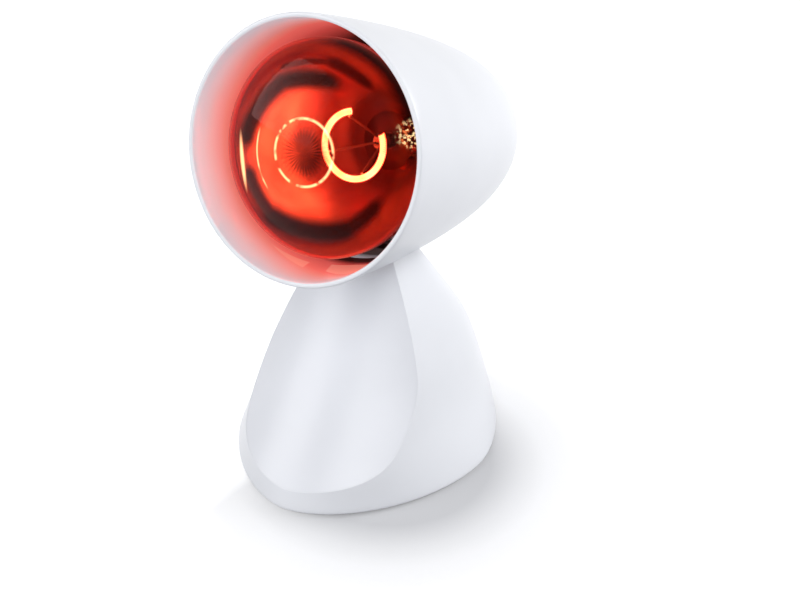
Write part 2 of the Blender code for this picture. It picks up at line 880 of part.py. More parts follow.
def make_switch():
    """Rocker switch: housing with its bezel, two brass tabs, and the rocker on its pins."""
    outline = rounded_rectangle(bezel_half_width, bezel_half_length, bezel_rounding * 3)
    housing = extruded("switch_housing", outline, gap, gap + bezel_thickness, switch_frame)
    rounding = housing.modifiers.new("edge", "BEVEL")
    rounding.width = bezel_rounding
    rounding.segments = 2
    rounding.limit_method = "ANGLE"
    rounding.angle_limit = math.radians(60.0)
    housing = bake(housing)
    body_x = switch_body_half_width
    body_y = switch_body_half_length
    body_top = gap + bezel_thickness / 2
    body = box("body", (-body_x, -body_y, -switch_body_depth), (body_x, body_y, body_top), switch_frame)
    housing = join(housing, body)
    well_x = switch_well_half_width
    well_y = switch_well_half_length
    well = box("well", (-well_x, -well_y, -switch_well_depth), (well_x, well_y, overrun), switch_frame)
    pins = cylinder("pin_hole", rocker_pin_radius + gap, -body_x - gap, body_x + gap,
                    rocker_frame @ Matrix.Rotation(math.pi / 2, 4, "Y"), tiny_facets)
    housing = cut(housing, well, pins)
    finish(housing, white_rocker)
    for number, side in enumerate((-1, 1), 1):
        low = (-tab_width / 2, side * tab_spacing - tab_thickness / 2, -switch_body_depth - gap - tab_length)
        high = (tab_width / 2, side * tab_spacing + tab_thickness / 2, -switch_body_depth - gap)
        finish(box(f"switch_tab_{number}", low, high, switch_frame), brass)
    empty = axis_empty("switch_axis", rocker_frame)
    tilt = rocker_frame @ Matrix.Rotation(math.radians(rocker_swing_degrees), 4, "X")
    reach = rocker_half_length
    side_outline = [
        (-reach, rocker_rise + rocker_axis_depth),
        (-reach, -rocker_axis_depth),
        (-rocker_keel_reach, -rocker_keel),
        (rocker_keel_reach, -rocker_keel),
        (reach, -rocker_axis_depth),
        (reach, rocker_rise + rocker_axis_depth),
        (0.0, rocker_dip + rocker_axis_depth),
    ]
    across = tilt @ frame_from(((0.0, 1.0, 0.0), (0.0, 0.0, 1.0), (1.0, 0.0, 0.0)), (0.0, 0.0, 0.0))
    rocker = extruded("rocker", side_outline, -rocker_half_width, rocker_half_width, across)
    pin = cylinder("pin", rocker_pin_radius, -rocker_pin_reach, rocker_pin_reach, across, tiny_facets)
    finish(join(rocker, pin), white_rocker, parent=empty)


# Head

mouth_frame = head_frame @ Matrix.Translation(-pivot_in_head)
head_side = mouth_frame @ frame_from(((0.0, 0.0, -1.0), (0.0, 1.0, 0.0), (1.0, 0.0, 0.0)), (0.0, 0.0, 0.0))
head_plan = mouth_frame @ frame_from(((1.0, 0.0, 0.0), (0.0, 0.0, -1.0), (0.0, 1.0, 0.0)), (0.0, 0.0, 0.0))
leaf_bend_depth = pivot_depth + leaf_slope_length
rivet_depth = leaf_bend_depth + rivet_from_bend
ear_inner = knuckle_half_width + gap + wheel_thickness + gap
ear_outer = ear_inner + sheet
bridge_bottom = bridge_top - sheet
upright_front = holder_start + holder_length + gap
upright_back = upright_front + sheet


def hood_radius(depth):
    """The hood's outer radius behind the mouth, by one smooth formula."""
    share = min(depth / hood_curve_length, 1.0)
    return mouth_radius * (1 - share ** hood_taper_share) ** (1 / hood_round_share)


def hood_line():
    """Radius and depth along the hood's outer side, closed by an elliptical cap that starts tangent."""
    start = cap_start_share * hood_curve_length
    points = []
    for index in range(hood_points + 1):
        share = 1 - (1 - index / hood_points) ** hood_crowding_share
        points.append((hood_radius(start * share), start * share))
    radius = points[-1][0]
    step = start / hood_points ** 2
    slope = (hood_radius(start - step) - hood_radius(start + step)) / (2 * step)
    rise = hood_length - start
    half = rise * cap_ratio(radius, slope, rise)
    inside = half - rise
    across = radius / math.sqrt(1 - (inside / half) ** 2)
    first = math.asin(min(inside / half, 1.0))
    for index in range(1, cap_points + 1):
        angle = first + (math.pi / 2 - first) * index / cap_points
        points.append((across * math.cos(angle), start - inside + half * math.sin(angle)))
    return points


def cap_ratio(radius, slope, rise):
    """Half length of the end cap over its rise, so that it leaves the side with the same slope."""
    pull = radius / (slope * rise)
    return (pull - 1) / (pull - 2)


def hood_inner_line(inset):
    """The hood's line moved inwards, square to itself."""
    line = hood_line()
    moved = []
    for index, (radius, depth) in enumerate(line):
        before = line[max(index - 1, 0)]
        after = line[min(index + 1, len(line) - 1)]
        along = Vector((after[0] - before[0], after[1] - before[1])).normalized()
        if index == len(line) - 1:
            along = Vector((-1.0, 0.0))
        moved.append((max(radius - inset * along.y, 0.0), depth + inset * along.x))
    return moved


def make_hood():
    """The bell-shaped shade: a turned wall with a rounded lip, a slot for the neck, bosses and vents."""
    work_line = [(radius, -depth) for radius, depth in hood_line()]
    hood = turned("hood", work_line, mouth_frame, hood_facets)
    shell = hood.modifiers.new("wall", "SOLIDIFY")
    shell.thickness = hood_wall
    shell.offset = -1.0
    shell.use_even_offset = True
    edge = hood.modifiers.new("lip", "BEVEL")
    edge.width = lip_rounding
    edge.segments = 2
    edge.limit_method = "ANGLE"
    edge.angle_limit = math.radians(60.0)
    hood = bake(hood)
    core_line = [(radius, -depth) for radius, depth in hood_inner_line(hood_wall / 2)]
    core_line = [(0.0, core_line[0][1])] + core_line
    for side in (-1, 1):
        frame = head_plan @ Matrix.Translation((side * hood_boss_x, (wing_start + wing_end) / 2, 0.0))
        boss = cylinder("boss", hood_boss_radius, -mouth_radius, bridge_bottom - gap, frame)
        boss = common(boss, turned("core", core_line, mouth_frame, hood_facets))
        hood = join(hood, boss)
        tip = bridge_top - bracket_screw_length - gap
        hood = cut(hood, cylinder("pilot", wall_screw_hole, tip, 0.0, frame, tiny_facets))
    hood = cut(hood, neck_slot())
    for index in range(-vents_each_side, vents_each_side + 1):
        x = index * vent_pitch
        half = math.sqrt(vent_reach ** 2 - x ** 2)
        frame = mouth_frame @ Matrix.Translation((x, 0.0, 0.0))
        vent = extruded("vent", stadium(vent_width / 2, half), -hood_length - overrun,
                        -cap_start_share * hood_curve_length + hood_wall, frame)
        hood = cut(hood, vent)
    return hood


def turned_point(y, z, degrees):
    """A point of the side view, turned about the pivot from +Y towards +Z."""
    angle = math.radians(degrees)
    return (y * math.cos(angle) - z * math.sin(angle), y * math.sin(angle) + z * math.cos(angle))


def neck_slot():
    """Cutter for the opening that the neck needs in the hood, over the whole range of tilt."""
    down = tilt_step_degrees * tilt_steps_down
    up = tilt_step_degrees * tilt_steps_up
    outline = []
    for height in (neck_top - slot_drop, neck_top):
        reach = base_reach(height)
        y, z = turned_point(face_line(height) - pivot_y, height - pivot_height, -down)
        outline.append((y - slot_clearance, z))
        y, z = turned_point(reach[2] + reach[3] - pivot_y, height - pivot_height, up)
        outline.insert(0, (y + slot_clearance, z))
    return extruded("neck_slot", outline, -slot_half_width, slot_half_width, across_pivot)


def make_bracket():
    """The steel bracket: two ears at the pivot, a bridge with screw wings, and an upright for the holder."""
    wide = ear_inner + sheet / 2
    back = upright_front + sheet / 2
    right = [(wide, bridge_start), (wide, wing_start - sheet), (wing_half_width, wing_start),
             (wing_half_width, wing_end), (wide, wing_end + sheet), (wide, back)]
    outline = right + [(-x, depth) for x, depth in reversed(right)]
    bracket = extruded("lamp_bracket", outline, bridge_bottom, bridge_top, head_plan)
    ear_back = bridge_start + ear_radius * 2
    for side in (-1, 1):
        low = min(side * ear_inner, side * ear_outer)
        high = max(side * ear_inner, side * ear_outer)
        ear = circle_points(ear_radius, small_facets // 2 + 3, math.radians(110.0), math.radians(205.0),
                            (pivot_depth, -pivot_drop))
        ear += [(ear_back, bridge_bottom + sheet / 2), (bridge_start - sheet, bridge_bottom + sheet / 2)]
        bracket = join(bracket, extruded("ear", ear, low, high, head_side))
    upright = box("upright", (-upright_half_width, bridge_bottom + sheet / 2, -upright_back),
                  (upright_half_width, upright_height, -upright_front), mouth_frame)
    bracket = join(bracket, upright)
    half = ear_outer + gap
    bolt_hole = cylinder("bolt_hole", bolt_radius + gap, -half, half, across_pivot)
    bracket = cut(bracket, bolt_hole)
    wing_middle = (wing_start + wing_end) / 2
    for side in (-1, 1):
        frame = head_plan @ Matrix.Translation((side * hood_boss_x, wing_middle, 0.0))
        bracket = cut(bracket, cylinder("hole", wall_screw_hole, -overrun * 2, 0.0, frame, tiny_facets))
        frame = mouth_frame @ Matrix.Translation((side * holder_screw_x, 0.0, 0.0))
        low = -upright_back - gap
        hole = cylinder("hole", wall_screw_hole, low, gap - upright_front, frame, tiny_facets)
        bracket = cut(bracket, hole)
    rivet = head_plan @ Matrix.Translation((leaf_middle(), rivet_depth, 0.0))
    return cut(bracket, cylinder("hole", rivet_radius + gap, -overrun * 2, 0.0, rivet, tiny_facets))


def leaf_middle():
    """Where the detent spring lies across the head, just inside the ear."""
    return ear_inner - gap * 2 - leaf_width / 2


def make_detent():
    """The notched wheel on the knuckle, and the leaf spring that clicks over it."""
    outline = []
    notches = []
    for step in range(-tilt_steps_up, tilt_steps_down + 1):
        notches.append(180.0 - head_lift_degrees - 90.0 + step * tilt_step_degrees)
    degrees = notches[-1] + tilt_step_degrees
    stop = notches[0] - tilt_step_degrees + 360.0
    plain = small_facets + 4
    for index in range(plain + 1):
        outline.append((wheel_radius, degrees + (stop - degrees) * index / plain))
    for notch in notches:
        outline.append((wheel_radius, notch - notch_half_degrees))
        outline.append((wheel_radius - notch_depth, notch))
        outline.append((wheel_radius, notch + notch_half_degrees))
    points = []
    for radius, angle in outline:
        points.append((radius * math.cos(math.radians(angle)), radius * math.sin(math.radians(angle))))
    start = knuckle_half_width + gap
    wheel = extruded("detent_wheel", points, start, start + wheel_thickness, across_pivot)
    wheel = cut(wheel, cylinder("bore", bolt_radius + gap, 0.0, overrun * 2, across_pivot))
    finish(wheel, grey_plastic, 20.0)
    half = leaf_thickness / 2
    high = bridge_bottom - gap - half
    tip = wheel_radius - pivot_drop + gap + half
    line = [(rivet_depth + leaf_tail, high), (leaf_bend_depth, high),
            (pivot_depth + leaf_crest_length, tip + notch_depth),
            (pivot_depth, tip), (pivot_depth - leaf_crest_length, tip + notch_depth),
            (pivot_depth - leaf_end_length, tip + leaf_flare)]
    middle = leaf_middle()
    low = middle - leaf_width / 2
    leaf = extruded("detent_spring", strip_outline(line, leaf_thickness), low, low + leaf_width, head_side)
    frame = head_plan @ Matrix.Translation((middle, rivet_depth, 0.0))
    leaf = cut(leaf, cylinder("hole", rivet_radius + gap, -overrun * 2, 0.0, frame, tiny_facets))
    finish(leaf, zinc_steel, 20.0, parent=head_empty)
    top = bridge_top + gap
    bottom = bridge_bottom - gap - leaf_thickness - gap
    head = rivet_head_radius
    profile = [
        (0.0, top + rivet_head_height),
        (head * head_crown_share, top + rivet_head_height),
        (head, top),
        (rivet_radius, top),
        (rivet_radius, bottom),
        (head, bottom),
        (head * head_crown_share, bottom - rivet_head_height / 2),
        (0.0, bottom - rivet_head_height / 2),
    ]
    finish(turned("detent_rivet", profile, frame, tiny_facets), zinc_steel, parent=head_empty)


def make_pivot():
    """Bolt, nut, two washers and the spacer that balances the detent wheel."""
    bore = bolt_radius + gap
    washer_start = ear_outer + gap
    washer_stop = washer_start + washer_thickness
    head_start = washer_stop + gap
    nut_stop = head_start + nut_thickness
    start = knuckle_half_width + gap
    spacer = cylinder("pivot_spacer", ear_radius - gap, -start - wheel_thickness, -start, across_pivot)
    spacer = cut(spacer, cylinder("bore", bore, -overrun * 2, 0.0, across_pivot))
    finish(spacer, grey_plastic, parent=head_empty)
    for name, side in (("washer_left", -1), ("washer_right", 1)):
        low = min(side * washer_start, side * washer_stop)
        high = max(side * washer_start, side * washer_stop)
        washer = cylinder(name, washer_radius, low, high, across_pivot)
        washer = cut(washer, cylinder("bore", bore, low - gap, high + gap, across_pivot))
        finish(washer, zinc_steel, parent=head_empty)
    bolt = cylinder("pivot_bolt", bolt_radius, -head_start - gap, nut_stop + bolt_end, across_pivot)
    head = cylinder("head", bolt_head_radius, -head_start - bolt_head_height, -head_start, across_pivot)
    finish(join(bolt, head), zinc_steel, parent=head_empty)
    nut = cylinder("pivot_nut", nut_radius, head_start, nut_stop, across_pivot, 6)
    nut = cut(nut, cylinder("bore", bore, head_start - gap, nut_stop + gap, across_pivot))
    finish(nut, zinc_steel, parent=head_empty)


def thread_line(radius, start, turns, wall_shift=0.0):
    """A rolled thread drawn as rings: radius and depth, a root and a crest to each pitch."""
    points = []
    for index in range(turns * 2 + 1):
        swing = thread_height if index % 2 else -thread_height
        points.append((radius + swing + wall_shift, start + thread_pitch * index / 2))
    return points


def make_holder():
    """Ceramic lampholder with its brass screw shell, centre contact and fixing screws."""
    floor = holder_start + holder_length - holder_floor
    back = holder_start + holder_length
    profile = [
        (holder_bore, holder_start),
        (holder_mouth_radius, holder_start),
        (holder_mouth_radius, holder_start + holder_length * holder_collar_share),
        (holder_radius, holder_start + holder_length * holder_shoulder_share),
        (holder_radius, back),
        (0.0, back),
    ]
    profile = [(0.0, floor), (holder_bore, floor)] + profile
    profile = [(radius, -depth) for radius, depth in profile]
    ceramic_body = turned("lampholder", profile, mouth_frame, bulb_facets)
    for number, side in enumerate((-1, 1), 1):
        frame = mouth_frame @ Matrix.Translation((side * holder_screw_x, 0.0, 0.0))
        hole = cylinder("hole", wall_screw_hole, -back - gap, -floor + gap, frame, tiny_facets)
        ceramic_body = cut(ceramic_body, hole)
        screw_frame = frame @ Matrix.Translation((0.0, 0.0, gap - floor))
        length = holder_floor + gap * 2 + sheet + screw_radius
        finish(make_screw(f"holder_screw_{number}", length, screw_frame), zinc_steel, parent=head_empty)
    finish(ceramic_body, ceramic, parent=head_empty)
    inner = thread_line(socket_thread_radius, socket_thread_start, socket_thread_turns)
    outer = thread_line(socket_thread_radius, socket_thread_start, socket_thread_turns, socket_thread_wall)
    shell_line = [(radius, -depth) for radius, depth in outer + inner[::-1]]
    shell = turned("socket_shell", shell_line, mouth_frame, thread_facets, closed=True)
    finish(shell, brass, parent=head_empty)
    half = contact_strip_thickness / 2
    low = floor - gap - half
    tongue = contact_tongue_depth() + half
    line = [(low, -contact_strip_reach), (low, contact_bend_height), (tongue, contact_tongue_top),
            (tongue, -contact_tongue_low)]
    strip = extruded("socket_contact", strip_outline(line, contact_strip_thickness), -contact_strip_width / 2,
                     contact_strip_width / 2, head_side)
    finish(strip, brass, parent=head_empty)


def contact_tongue_depth():
    """Where the holder's contact meets the bulb's end contact."""
    return insulator_start() + insulator_length + gap + end_contact_thickness + gap


def insulator_start():
    return cap_depth + cap_skirt_length + thread_pitch * cap_thread_turns + gap


def glass_line(inset):
    """Radius and depth of the envelope, from the dome's tip round to the open end of its neck."""
    points = []
    rise = bulb_wide_depth - bulb_tip_depth - inset
    wide = bulb_radius - inset
    power = 2 / dome_power_share
    for index in range(dome_points + 1):
        angle = math.pi / 2 * index / dome_points
        points.append((wide * math.sin(angle) ** power, bulb_wide_depth - rise * math.cos(angle) ** power))
    neck = bulb_neck_radius - inset
    for index in range(1, cone_points + 1):
        share = index / cone_points
        swing = (math.cos(math.pi * share ** cone_power_share) + 1) / 2
        depth = bulb_wide_depth + (bulb_neck_depth - bulb_wide_depth) * share
        points.append((neck + (wide - neck) * swing, depth))
    points.append((neck, cap_depth - gap * 5))
    points.append((bulb_end_radius - inset, cap_depth - gap))
    points.append((bulb_end_radius - inset, bulb_end_depth))
    return points


def make_bulb():
    """Reflector bulb: ruby front, silvered cone, screw cap, insulator, end contact and mount."""
    outer = glass_line(0.0)
    inner = glass_line(glass_wall)
    front = dome_points + 1
    line = [(radius, -depth) for radius, depth in outer[:front] + inner[:front][::-1]]
    finish(turned("bulb_glass", line, mouth_frame, bulb_facets), ruby_glass, parent=head_empty)
    outer = [(bulb_radius, bulb_wide_depth + gap)] + outer[front:]
    inner = [(bulb_radius - glass_wall, bulb_wide_depth + gap)] + inner[front:]
    line = [(radius, -depth) for radius, depth in outer + inner[::-1]]
    cone = turned("bulb_reflector", line, mouth_frame, bulb_facets, closed=True)
    finish(cone, silvered_glass, parent=head_empty)
    thread_start = cap_depth + cap_skirt_length
    thread_end = thread_start + thread_pitch * cap_thread_turns
    cap_outer = [(cap_skirt_radius, cap_depth), (cap_skirt_radius, thread_start - thread_pitch / 4)]
    cap_outer += thread_line(cap_thread_radius, thread_start, cap_thread_turns)
    cap_outer += [(insulator_radius, thread_end + gap)]
    skirt = cap_skirt_radius - cap_wall
    cap_inner = [(skirt, cap_depth), (skirt, thread_start - thread_pitch / 4)]
    cap_inner += thread_line(cap_thread_radius - cap_wall, thread_start, cap_thread_turns)
    cap_inner += [(insulator_radius - cap_wall, thread_end - cap_wall)]
    cap_line = [(radius, -depth) for radius, depth in cap_outer + cap_inner[::-1]]
    cap = turned("bulb_cap", cap_line, mouth_frame, thread_facets, closed=True)
    finish(cap, aluminium, parent=head_empty)
    start = insulator_start() + gap
    stop = insulator_start() + insulator_length
    profile = [(0.0, -start), (insulator_rim_radius, -start), (end_contact_radius, -stop), (0.0, -stop)]
    finish(turned("cap_insulator", profile, mouth_frame, small_facets), black_glass, parent=head_empty)
    first = stop + gap
    last = first + end_contact_thickness
    profile = [(0.0, -first), (end_contact_radius, -first), (end_contact_tip_radius, -last), (0.0, -last)]
    finish(turned("bulb_contact", profile, mouth_frame, small_facets), aluminium, parent=head_empty)
    make_mount()


def make_mount():
    """The glass stem, the heat disc round it, the C-shaped filament and the wires that hold it."""
    profile = [
        (0.0, -stem_top_depth),
        (stem_top_radius, -stem_top_depth),
        (stem_top_radius, -(disc_depth + disc_thickness)),
        (stem_waist_radius, -bulb_neck_depth),
        (stem_foot_radius, -(bulb_end_depth - disc_thickness)),
        (stem_foot_radius, -bulb_end_depth),
        (0.0, -bulb_end_depth),
    ]
    finish(turned("glass_stem", profile, mouth_frame, small_facets), clear_glass, parent=head_empty)
    disc = cylinder("heat_disc", disc_radius, -disc_depth - disc_thickness, -disc_depth, mouth_frame)
    bore = cylinder("bore", stem_top_radius + gap, -disc_depth - overrun, overrun - disc_depth, mouth_frame)
    disc = cut(disc, bore)
    finish(disc, aluminium, parent=head_empty)
    start = math.radians(filament_start_degrees)
    sweep = math.radians(filament_sweep_degrees)
    ring = circle_points(filament_ring_radius, filament_points, start, sweep)
    points = [(x, y, -filament_depth) for x, y in ring]
    finish(wire("filament", points, filament_wire_radius, mouth_frame), tungsten, 60.0, parent=head_empty)
    seat = filament_ring_radius - filament_wire_radius - gap - lead_radius
    places = [(f"lead_wire_{number}", share) for number, share in enumerate(lead_shares, 1)]
    places += [(f"filament_support_{number}", share) for number, share in enumerate(support_shares, 1)]
    for name, share in places:
        angle = start + sweep * share
        along = Vector((math.cos(angle), math.sin(angle), 0.0))
        depth = Vector((0.0, 0.0, -1.0))
        foot = along * (stem_top_radius - lead_radius * 2) + depth * (stem_top_depth - gap)
        knee = along * mount_knee_radius + depth * (filament_depth + mount_knee_step)
        tip = along * seat + depth * filament_depth
        lead = wire(name, [foot, knee, tip], lead_radius, mouth_frame, 1)
        finish(lead, zinc_steel, 60.0, parent=head_empty)


def make_head():
    finish(make_hood(), white_abs, parent=head_empty)
    finish(make_bracket(), zinc_steel, parent=head_empty)
    wing_middle = (wing_start + wing_end) / 2
    for number, side in enumerate((-1, 1), 1):
        frame = head_plan @ Matrix.Translation((side * hood_boss_x, wing_middle, bridge_top + gap))
        screw = make_screw(f"bracket_screw_{number}", bracket_screw_length, frame)
        finish(screw, zinc_steel, parent=head_empty)
    make_detent()
    make_pivot()
    make_holder()
    make_bulb()


head_empty = axis_empty("head_tilt_axis", head_frame)
make_base()
make_switch()
make_head()
for leftover in list(cutters.objects):
    bpy.data.objects.remove(leftover, do_unlink=True)
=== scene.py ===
"""Table-top infrared heat lamp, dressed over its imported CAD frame, with a plain studio round it.

It is laid out as an add-on and run as a script. Lengths are metres, +Z is up, and the lamp faces -Y.
"""
import math
from functools import cache

import bmesh
import bpy
from bpy.props import FloatProperty, FloatVectorProperty, IntProperty, PointerProperty
from mathutils import Matrix, Vector


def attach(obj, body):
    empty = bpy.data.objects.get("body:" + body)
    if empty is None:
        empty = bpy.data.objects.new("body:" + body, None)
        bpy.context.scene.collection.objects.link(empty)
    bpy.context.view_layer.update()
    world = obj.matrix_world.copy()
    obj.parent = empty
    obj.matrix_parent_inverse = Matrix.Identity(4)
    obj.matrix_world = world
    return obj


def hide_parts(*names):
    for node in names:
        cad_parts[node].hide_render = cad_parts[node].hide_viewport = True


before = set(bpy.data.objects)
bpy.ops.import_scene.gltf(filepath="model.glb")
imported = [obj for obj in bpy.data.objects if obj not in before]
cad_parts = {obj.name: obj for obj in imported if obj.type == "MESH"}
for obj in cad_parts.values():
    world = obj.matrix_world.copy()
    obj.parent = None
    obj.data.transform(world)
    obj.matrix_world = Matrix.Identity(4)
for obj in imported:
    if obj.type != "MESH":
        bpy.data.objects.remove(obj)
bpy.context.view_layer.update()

bl_info = {
    "name": "Infrared heat lamp",
    "version": (1, 0, 0),
    "blender": (4, 5, 0),
    "location": "3D View > Sidebar > Heat lamp",
    "description": "Models a table-top infrared heat lamp and the studio that it stands in",
    "category": "Add Mesh",
}


def linear(text):
    """A colour written in sRGB hex, as the linear values that a shader takes."""
    values = [int(text[place:place + 2], 16) / 255 for place in (1, 3, 5)]
    return tuple(v / 12.92 if v <= 0.04045 else ((v + 0.055) / 1.055) ** 2.4 for v in values)


# What a user would change

class HeatLampSizes(bpy.types.PropertyGroup):
    """Sizes of the mouldings and the bulb, as the CAD has them."""
    mouth_radius: FloatProperty(name="Mouth radius", description="Outer radius of the hood at its mouth",
                                default=0.0574, unit="LENGTH")
    hood_wall: FloatProperty(name="Hood wall", description="Thickness of the hood's wall",
                             default=0.0024, unit="LENGTH")
    lip_rounding: FloatProperty(name="Lip rounding", description="Radius on both edges of the hood's lip",
                                default=0.0010, unit="LENGTH")
    shell_wall: FloatProperty(name="Base wall", description="Thickness of the base's wall",
                              default=0.0024, unit="LENGTH")
    seam: FloatProperty(name="Panel seam", description="Gap all round the front panel",
                        default=0.00006, unit="LENGTH")
    seam_lip: FloatProperty(name="Panel lip", description="Width of the base's lip round the front panel",
                            default=0.00018, unit="LENGTH")
    bulb_radius: FloatProperty(name="Bulb radius", description="Outer radius of the reflector bulb",
                               default=0.0475, unit="LENGTH")
    coil_radius: FloatProperty(name="Coil radius", description="Radius of the coiled filament",
                               default=0.0012, unit="LENGTH")
    coil_turns: IntProperty(name="Coil turns", description="Turns of wire in the filament", default=84, min=8)
    facets: IntProperty(name="Facets", description="Facets round the large mouldings", default=144, min=16)


class HeatLampColours(bpy.types.PropertyGroup):
    """Colours of the finishes."""
    hood_white: FloatVectorProperty(name="Hood", description="Moulded white of the hood and base",
                                    subtype="COLOR", default=linear("#EEF0F5"))
    panel_white: FloatVectorProperty(name="Front panel", description="Moulded white of the front panel",
                                     subtype="COLOR", default=linear("#E9EBF1"))
    ruby: FloatVectorProperty(name="Ruby glass", description="Tint of one pass through the bulb's dome",
                              subtype="COLOR", default=linear("#EF4D38"))
    # Colour of the glow painted on the bulb's reflector, in place of the filament's light that it throws
    # forward
    glow: FloatVectorProperty(name="Glow", description="Light thrown forward by the bulb's reflector",
                              subtype="COLOR", default=linear("#8C463A"))


class HeatLampStudio(bpy.types.PropertyGroup):
    """Strength of the studio's lights."""
    rear: FloatProperty(name="Rear light", description="Large soft box, right and behind", default=16.5,
                        unit="POWER")
    side: FloatProperty(name="Side light", description="Large soft box, left and in front", default=9.5,
                        unit="POWER")
    front: FloatProperty(name="Front light", description="Large soft box, high in front", default=11.0,
                         unit="POWER")
    low: FloatProperty(name="Low fill", description="Soft box low in front", default=2.2, unit="POWER")
    shadow: FloatProperty(name="Shadow light", description="Soft box, left and behind, for the shadow",
                          default=4.0, unit="POWER")
    ambient: FloatProperty(name="Ambient", description="Even light from all round", default=0.06)


def sizes():
    """The lamp's sizes, as the user has them."""
    return bpy.context.scene.heat_lamp_sizes


def colours():
    """The finishes' colours, as the user has them."""
    return bpy.context.scene.heat_lamp_colours


# The forms, from the CAD's own rules

# Heights are above the floor, and depths are behind the hood's mouth
base_centre_y = -0.0144
base_height = 0.1100
base_half_width = 0.0666
base_front_reach = 0.0796
base_rear_reach = 0.0790
neck_top = 0.1095
neck_rounding = 0.0030
rim_height = 0.0010
rim_rounding = 0.0016
cover_thickness = 0.0026
gap = 0.0003
hood_length = 0.1643
hood_cap_share = 0.928
hood_cap_end = 0.1650
wide_depth = 0.0200
cap_depth = 0.1005
thread_depth = 0.1035
thread_pitch = 0.0036
thread_height = 0.0010
filament_radius, filament_depth = 0.0150, 0.0450
wire_radius = 0.00032
neck_slot_half_width = 0.0215
switch_height, switch_seat_depth = 0.0400, 0.0014
cord_height, cord_seat_depth = 0.0160, 0.0010
under_floor = -0.020
pivot = Vector((0.0, -0.0094, 0.1180))
lift_degrees = 17.5
tilt_down_degrees, tilt_up_degrees = 24.0, 8.0
mouth_frame = (Matrix.Translation(pivot) @ Matrix.Rotation(math.radians(90.0 - lift_degrees), 4, "X")
               @ Matrix.Translation((0.0, 0.03555, 0.0715)))
base_frame = Matrix.Translation((0.0, base_centre_y, 0.0))

# Height, half width, front reach and rear reach of the base's sections, as shares of its own
base_sections = [(base_height * h, base_half_width * w, base_front_reach * f, base_rear_reach * r)
                 for h, w, f, r in (
                     (0.000, 1.000, 1.000, 1.000), (0.109, 0.905, 0.961, 0.971),
                     (0.273, 0.766, 0.928, 0.903), (0.500, 0.637, 0.879, 0.708),
                     (0.727, 0.477, 0.843, 0.459), (1.000, 0.246, 0.800, 0.148))]
face_points = [(base_height * h, -base_front_reach * f) for h, f in (
    (0.073, 0.990), (0.227, 0.794), (0.4545, 0.540), (0.727, 0.310), (1.000, 0.102))]
face_crown_radius = 0.0472
neck_offset = 0.0057


def smooth_value(table, column, place):
    """A smooth curve through the rows of a table, read at a place of its first column."""
    places = [row[0] for row in table]
    values = [row[column] for row in table]
    last = len(table) - 1
    place = min(max(place, places[0]), places[-1])
    index = 0
    while index < last - 1 and place > places[index + 1]:
        index += 1
    slopes = []
    for at in (index, index + 1):
        before, after = max(at - 1, 0), min(at + 1, last)
        slopes.append((values[after] - values[before]) / (places[after] - places[before]))
    width = places[index + 1] - places[index]
    t = (place - places[index]) / width
    rise = values[index + 1] - values[index]
    return values[index] + t * rise + t * (1 - t) * ((1 - t) * (slopes[0] * width - rise)
                                                     + t * (rise - slopes[1] * width))


def base_reach(height, inset=0.0):
    """Half width, front reach, rear reach and middle of the base's section at a height."""
    half, front, rear = (smooth_value(base_sections, column, height) - inset for column in (1, 2, 3))
    return half, front, rear, neck_offset * height / base_height


def face_line(height):
    """How far forward the front panel lies on the middle line, carried straight on past its ends."""
    low, high = face_points[0][0], face_points[-1][0]
    step = (high - low) / 16
    inside = min(max(height, low), high)
    here = smooth_value(face_points, 1, inside)
    if height < low:
        return here + (height - low) * (smooth_value(face_points, 1, low + step) - here) / step
    if height > high:
        return here + (height - high) * (here - smooth_value(face_points, 1, high - step)) / step
    return here


def hood_radius(depth):
    """Outer radius of the hood at a depth behind its mouth."""
    taper, fullness = 1.281, 4.18
    return sizes().mouth_radius * (1 - min(depth / hood_length, 1.0) ** taper) ** (1 / fullness)


def hood_line(points=34, cap=12):
    """Radius and depth along the hood's outer side, closed by an elliptical cap that starts tangent."""
    start, end = hood_cap_share * hood_length, hood_cap_end
    line = []
    for index in range(points + 1):
        share = 1 - (1 - index / points) ** 1.3
        line.append((hood_radius(start * share), start * share))
    radius = line[-1][0]
    step = start / 64
    slope = (hood_radius(start - step) - hood_radius(start + step)) / (2 * step)
    rise = end - start
    pull = radius / (slope * rise)
    half = rise * (pull - 1) / (pull - 2)
    inside = half - rise
    across = radius / math.sqrt(1 - (inside / half) ** 2)
    first = math.asin(min(inside / half, 1.0))
    for index in range(1, cap + 1):
        angle = first + (math.pi / 2 - first) * index / cap
        line.append((across * math.cos(angle), start - inside + half * math.sin(angle)))
    return line


def glass_line(inset, dome=20, cone=26):
    """Radius and depth of the bulb's envelope, from the dome's tip to the open end of its neck."""
    tip, neck_depth, stem_end = 0.0015, 0.0880, 0.1060
    neck, stem = 0.0170 - inset, 0.0116 - inset
    rise = wide_depth - tip - inset
    wide = sizes().bulb_radius - inset
    power = 2 / 2.3
    line = []
    for index in range(dome + 1):
        angle = math.pi / 2 * index / dome
        line.append((wide * math.sin(angle) ** power, wide_depth - rise * math.cos(angle) ** power))
    for index in range(1, cone + 1):
        share = index / cone
        swing = (math.cos(math.pi * share ** 1.15) + 1) / 2
        line.append((neck + (wide - neck) * swing, wide_depth + (neck_depth - wide_depth) * share))
    return line + [(neck, cap_depth - gap * 5), (stem, cap_depth - gap), (stem, stem_end)]


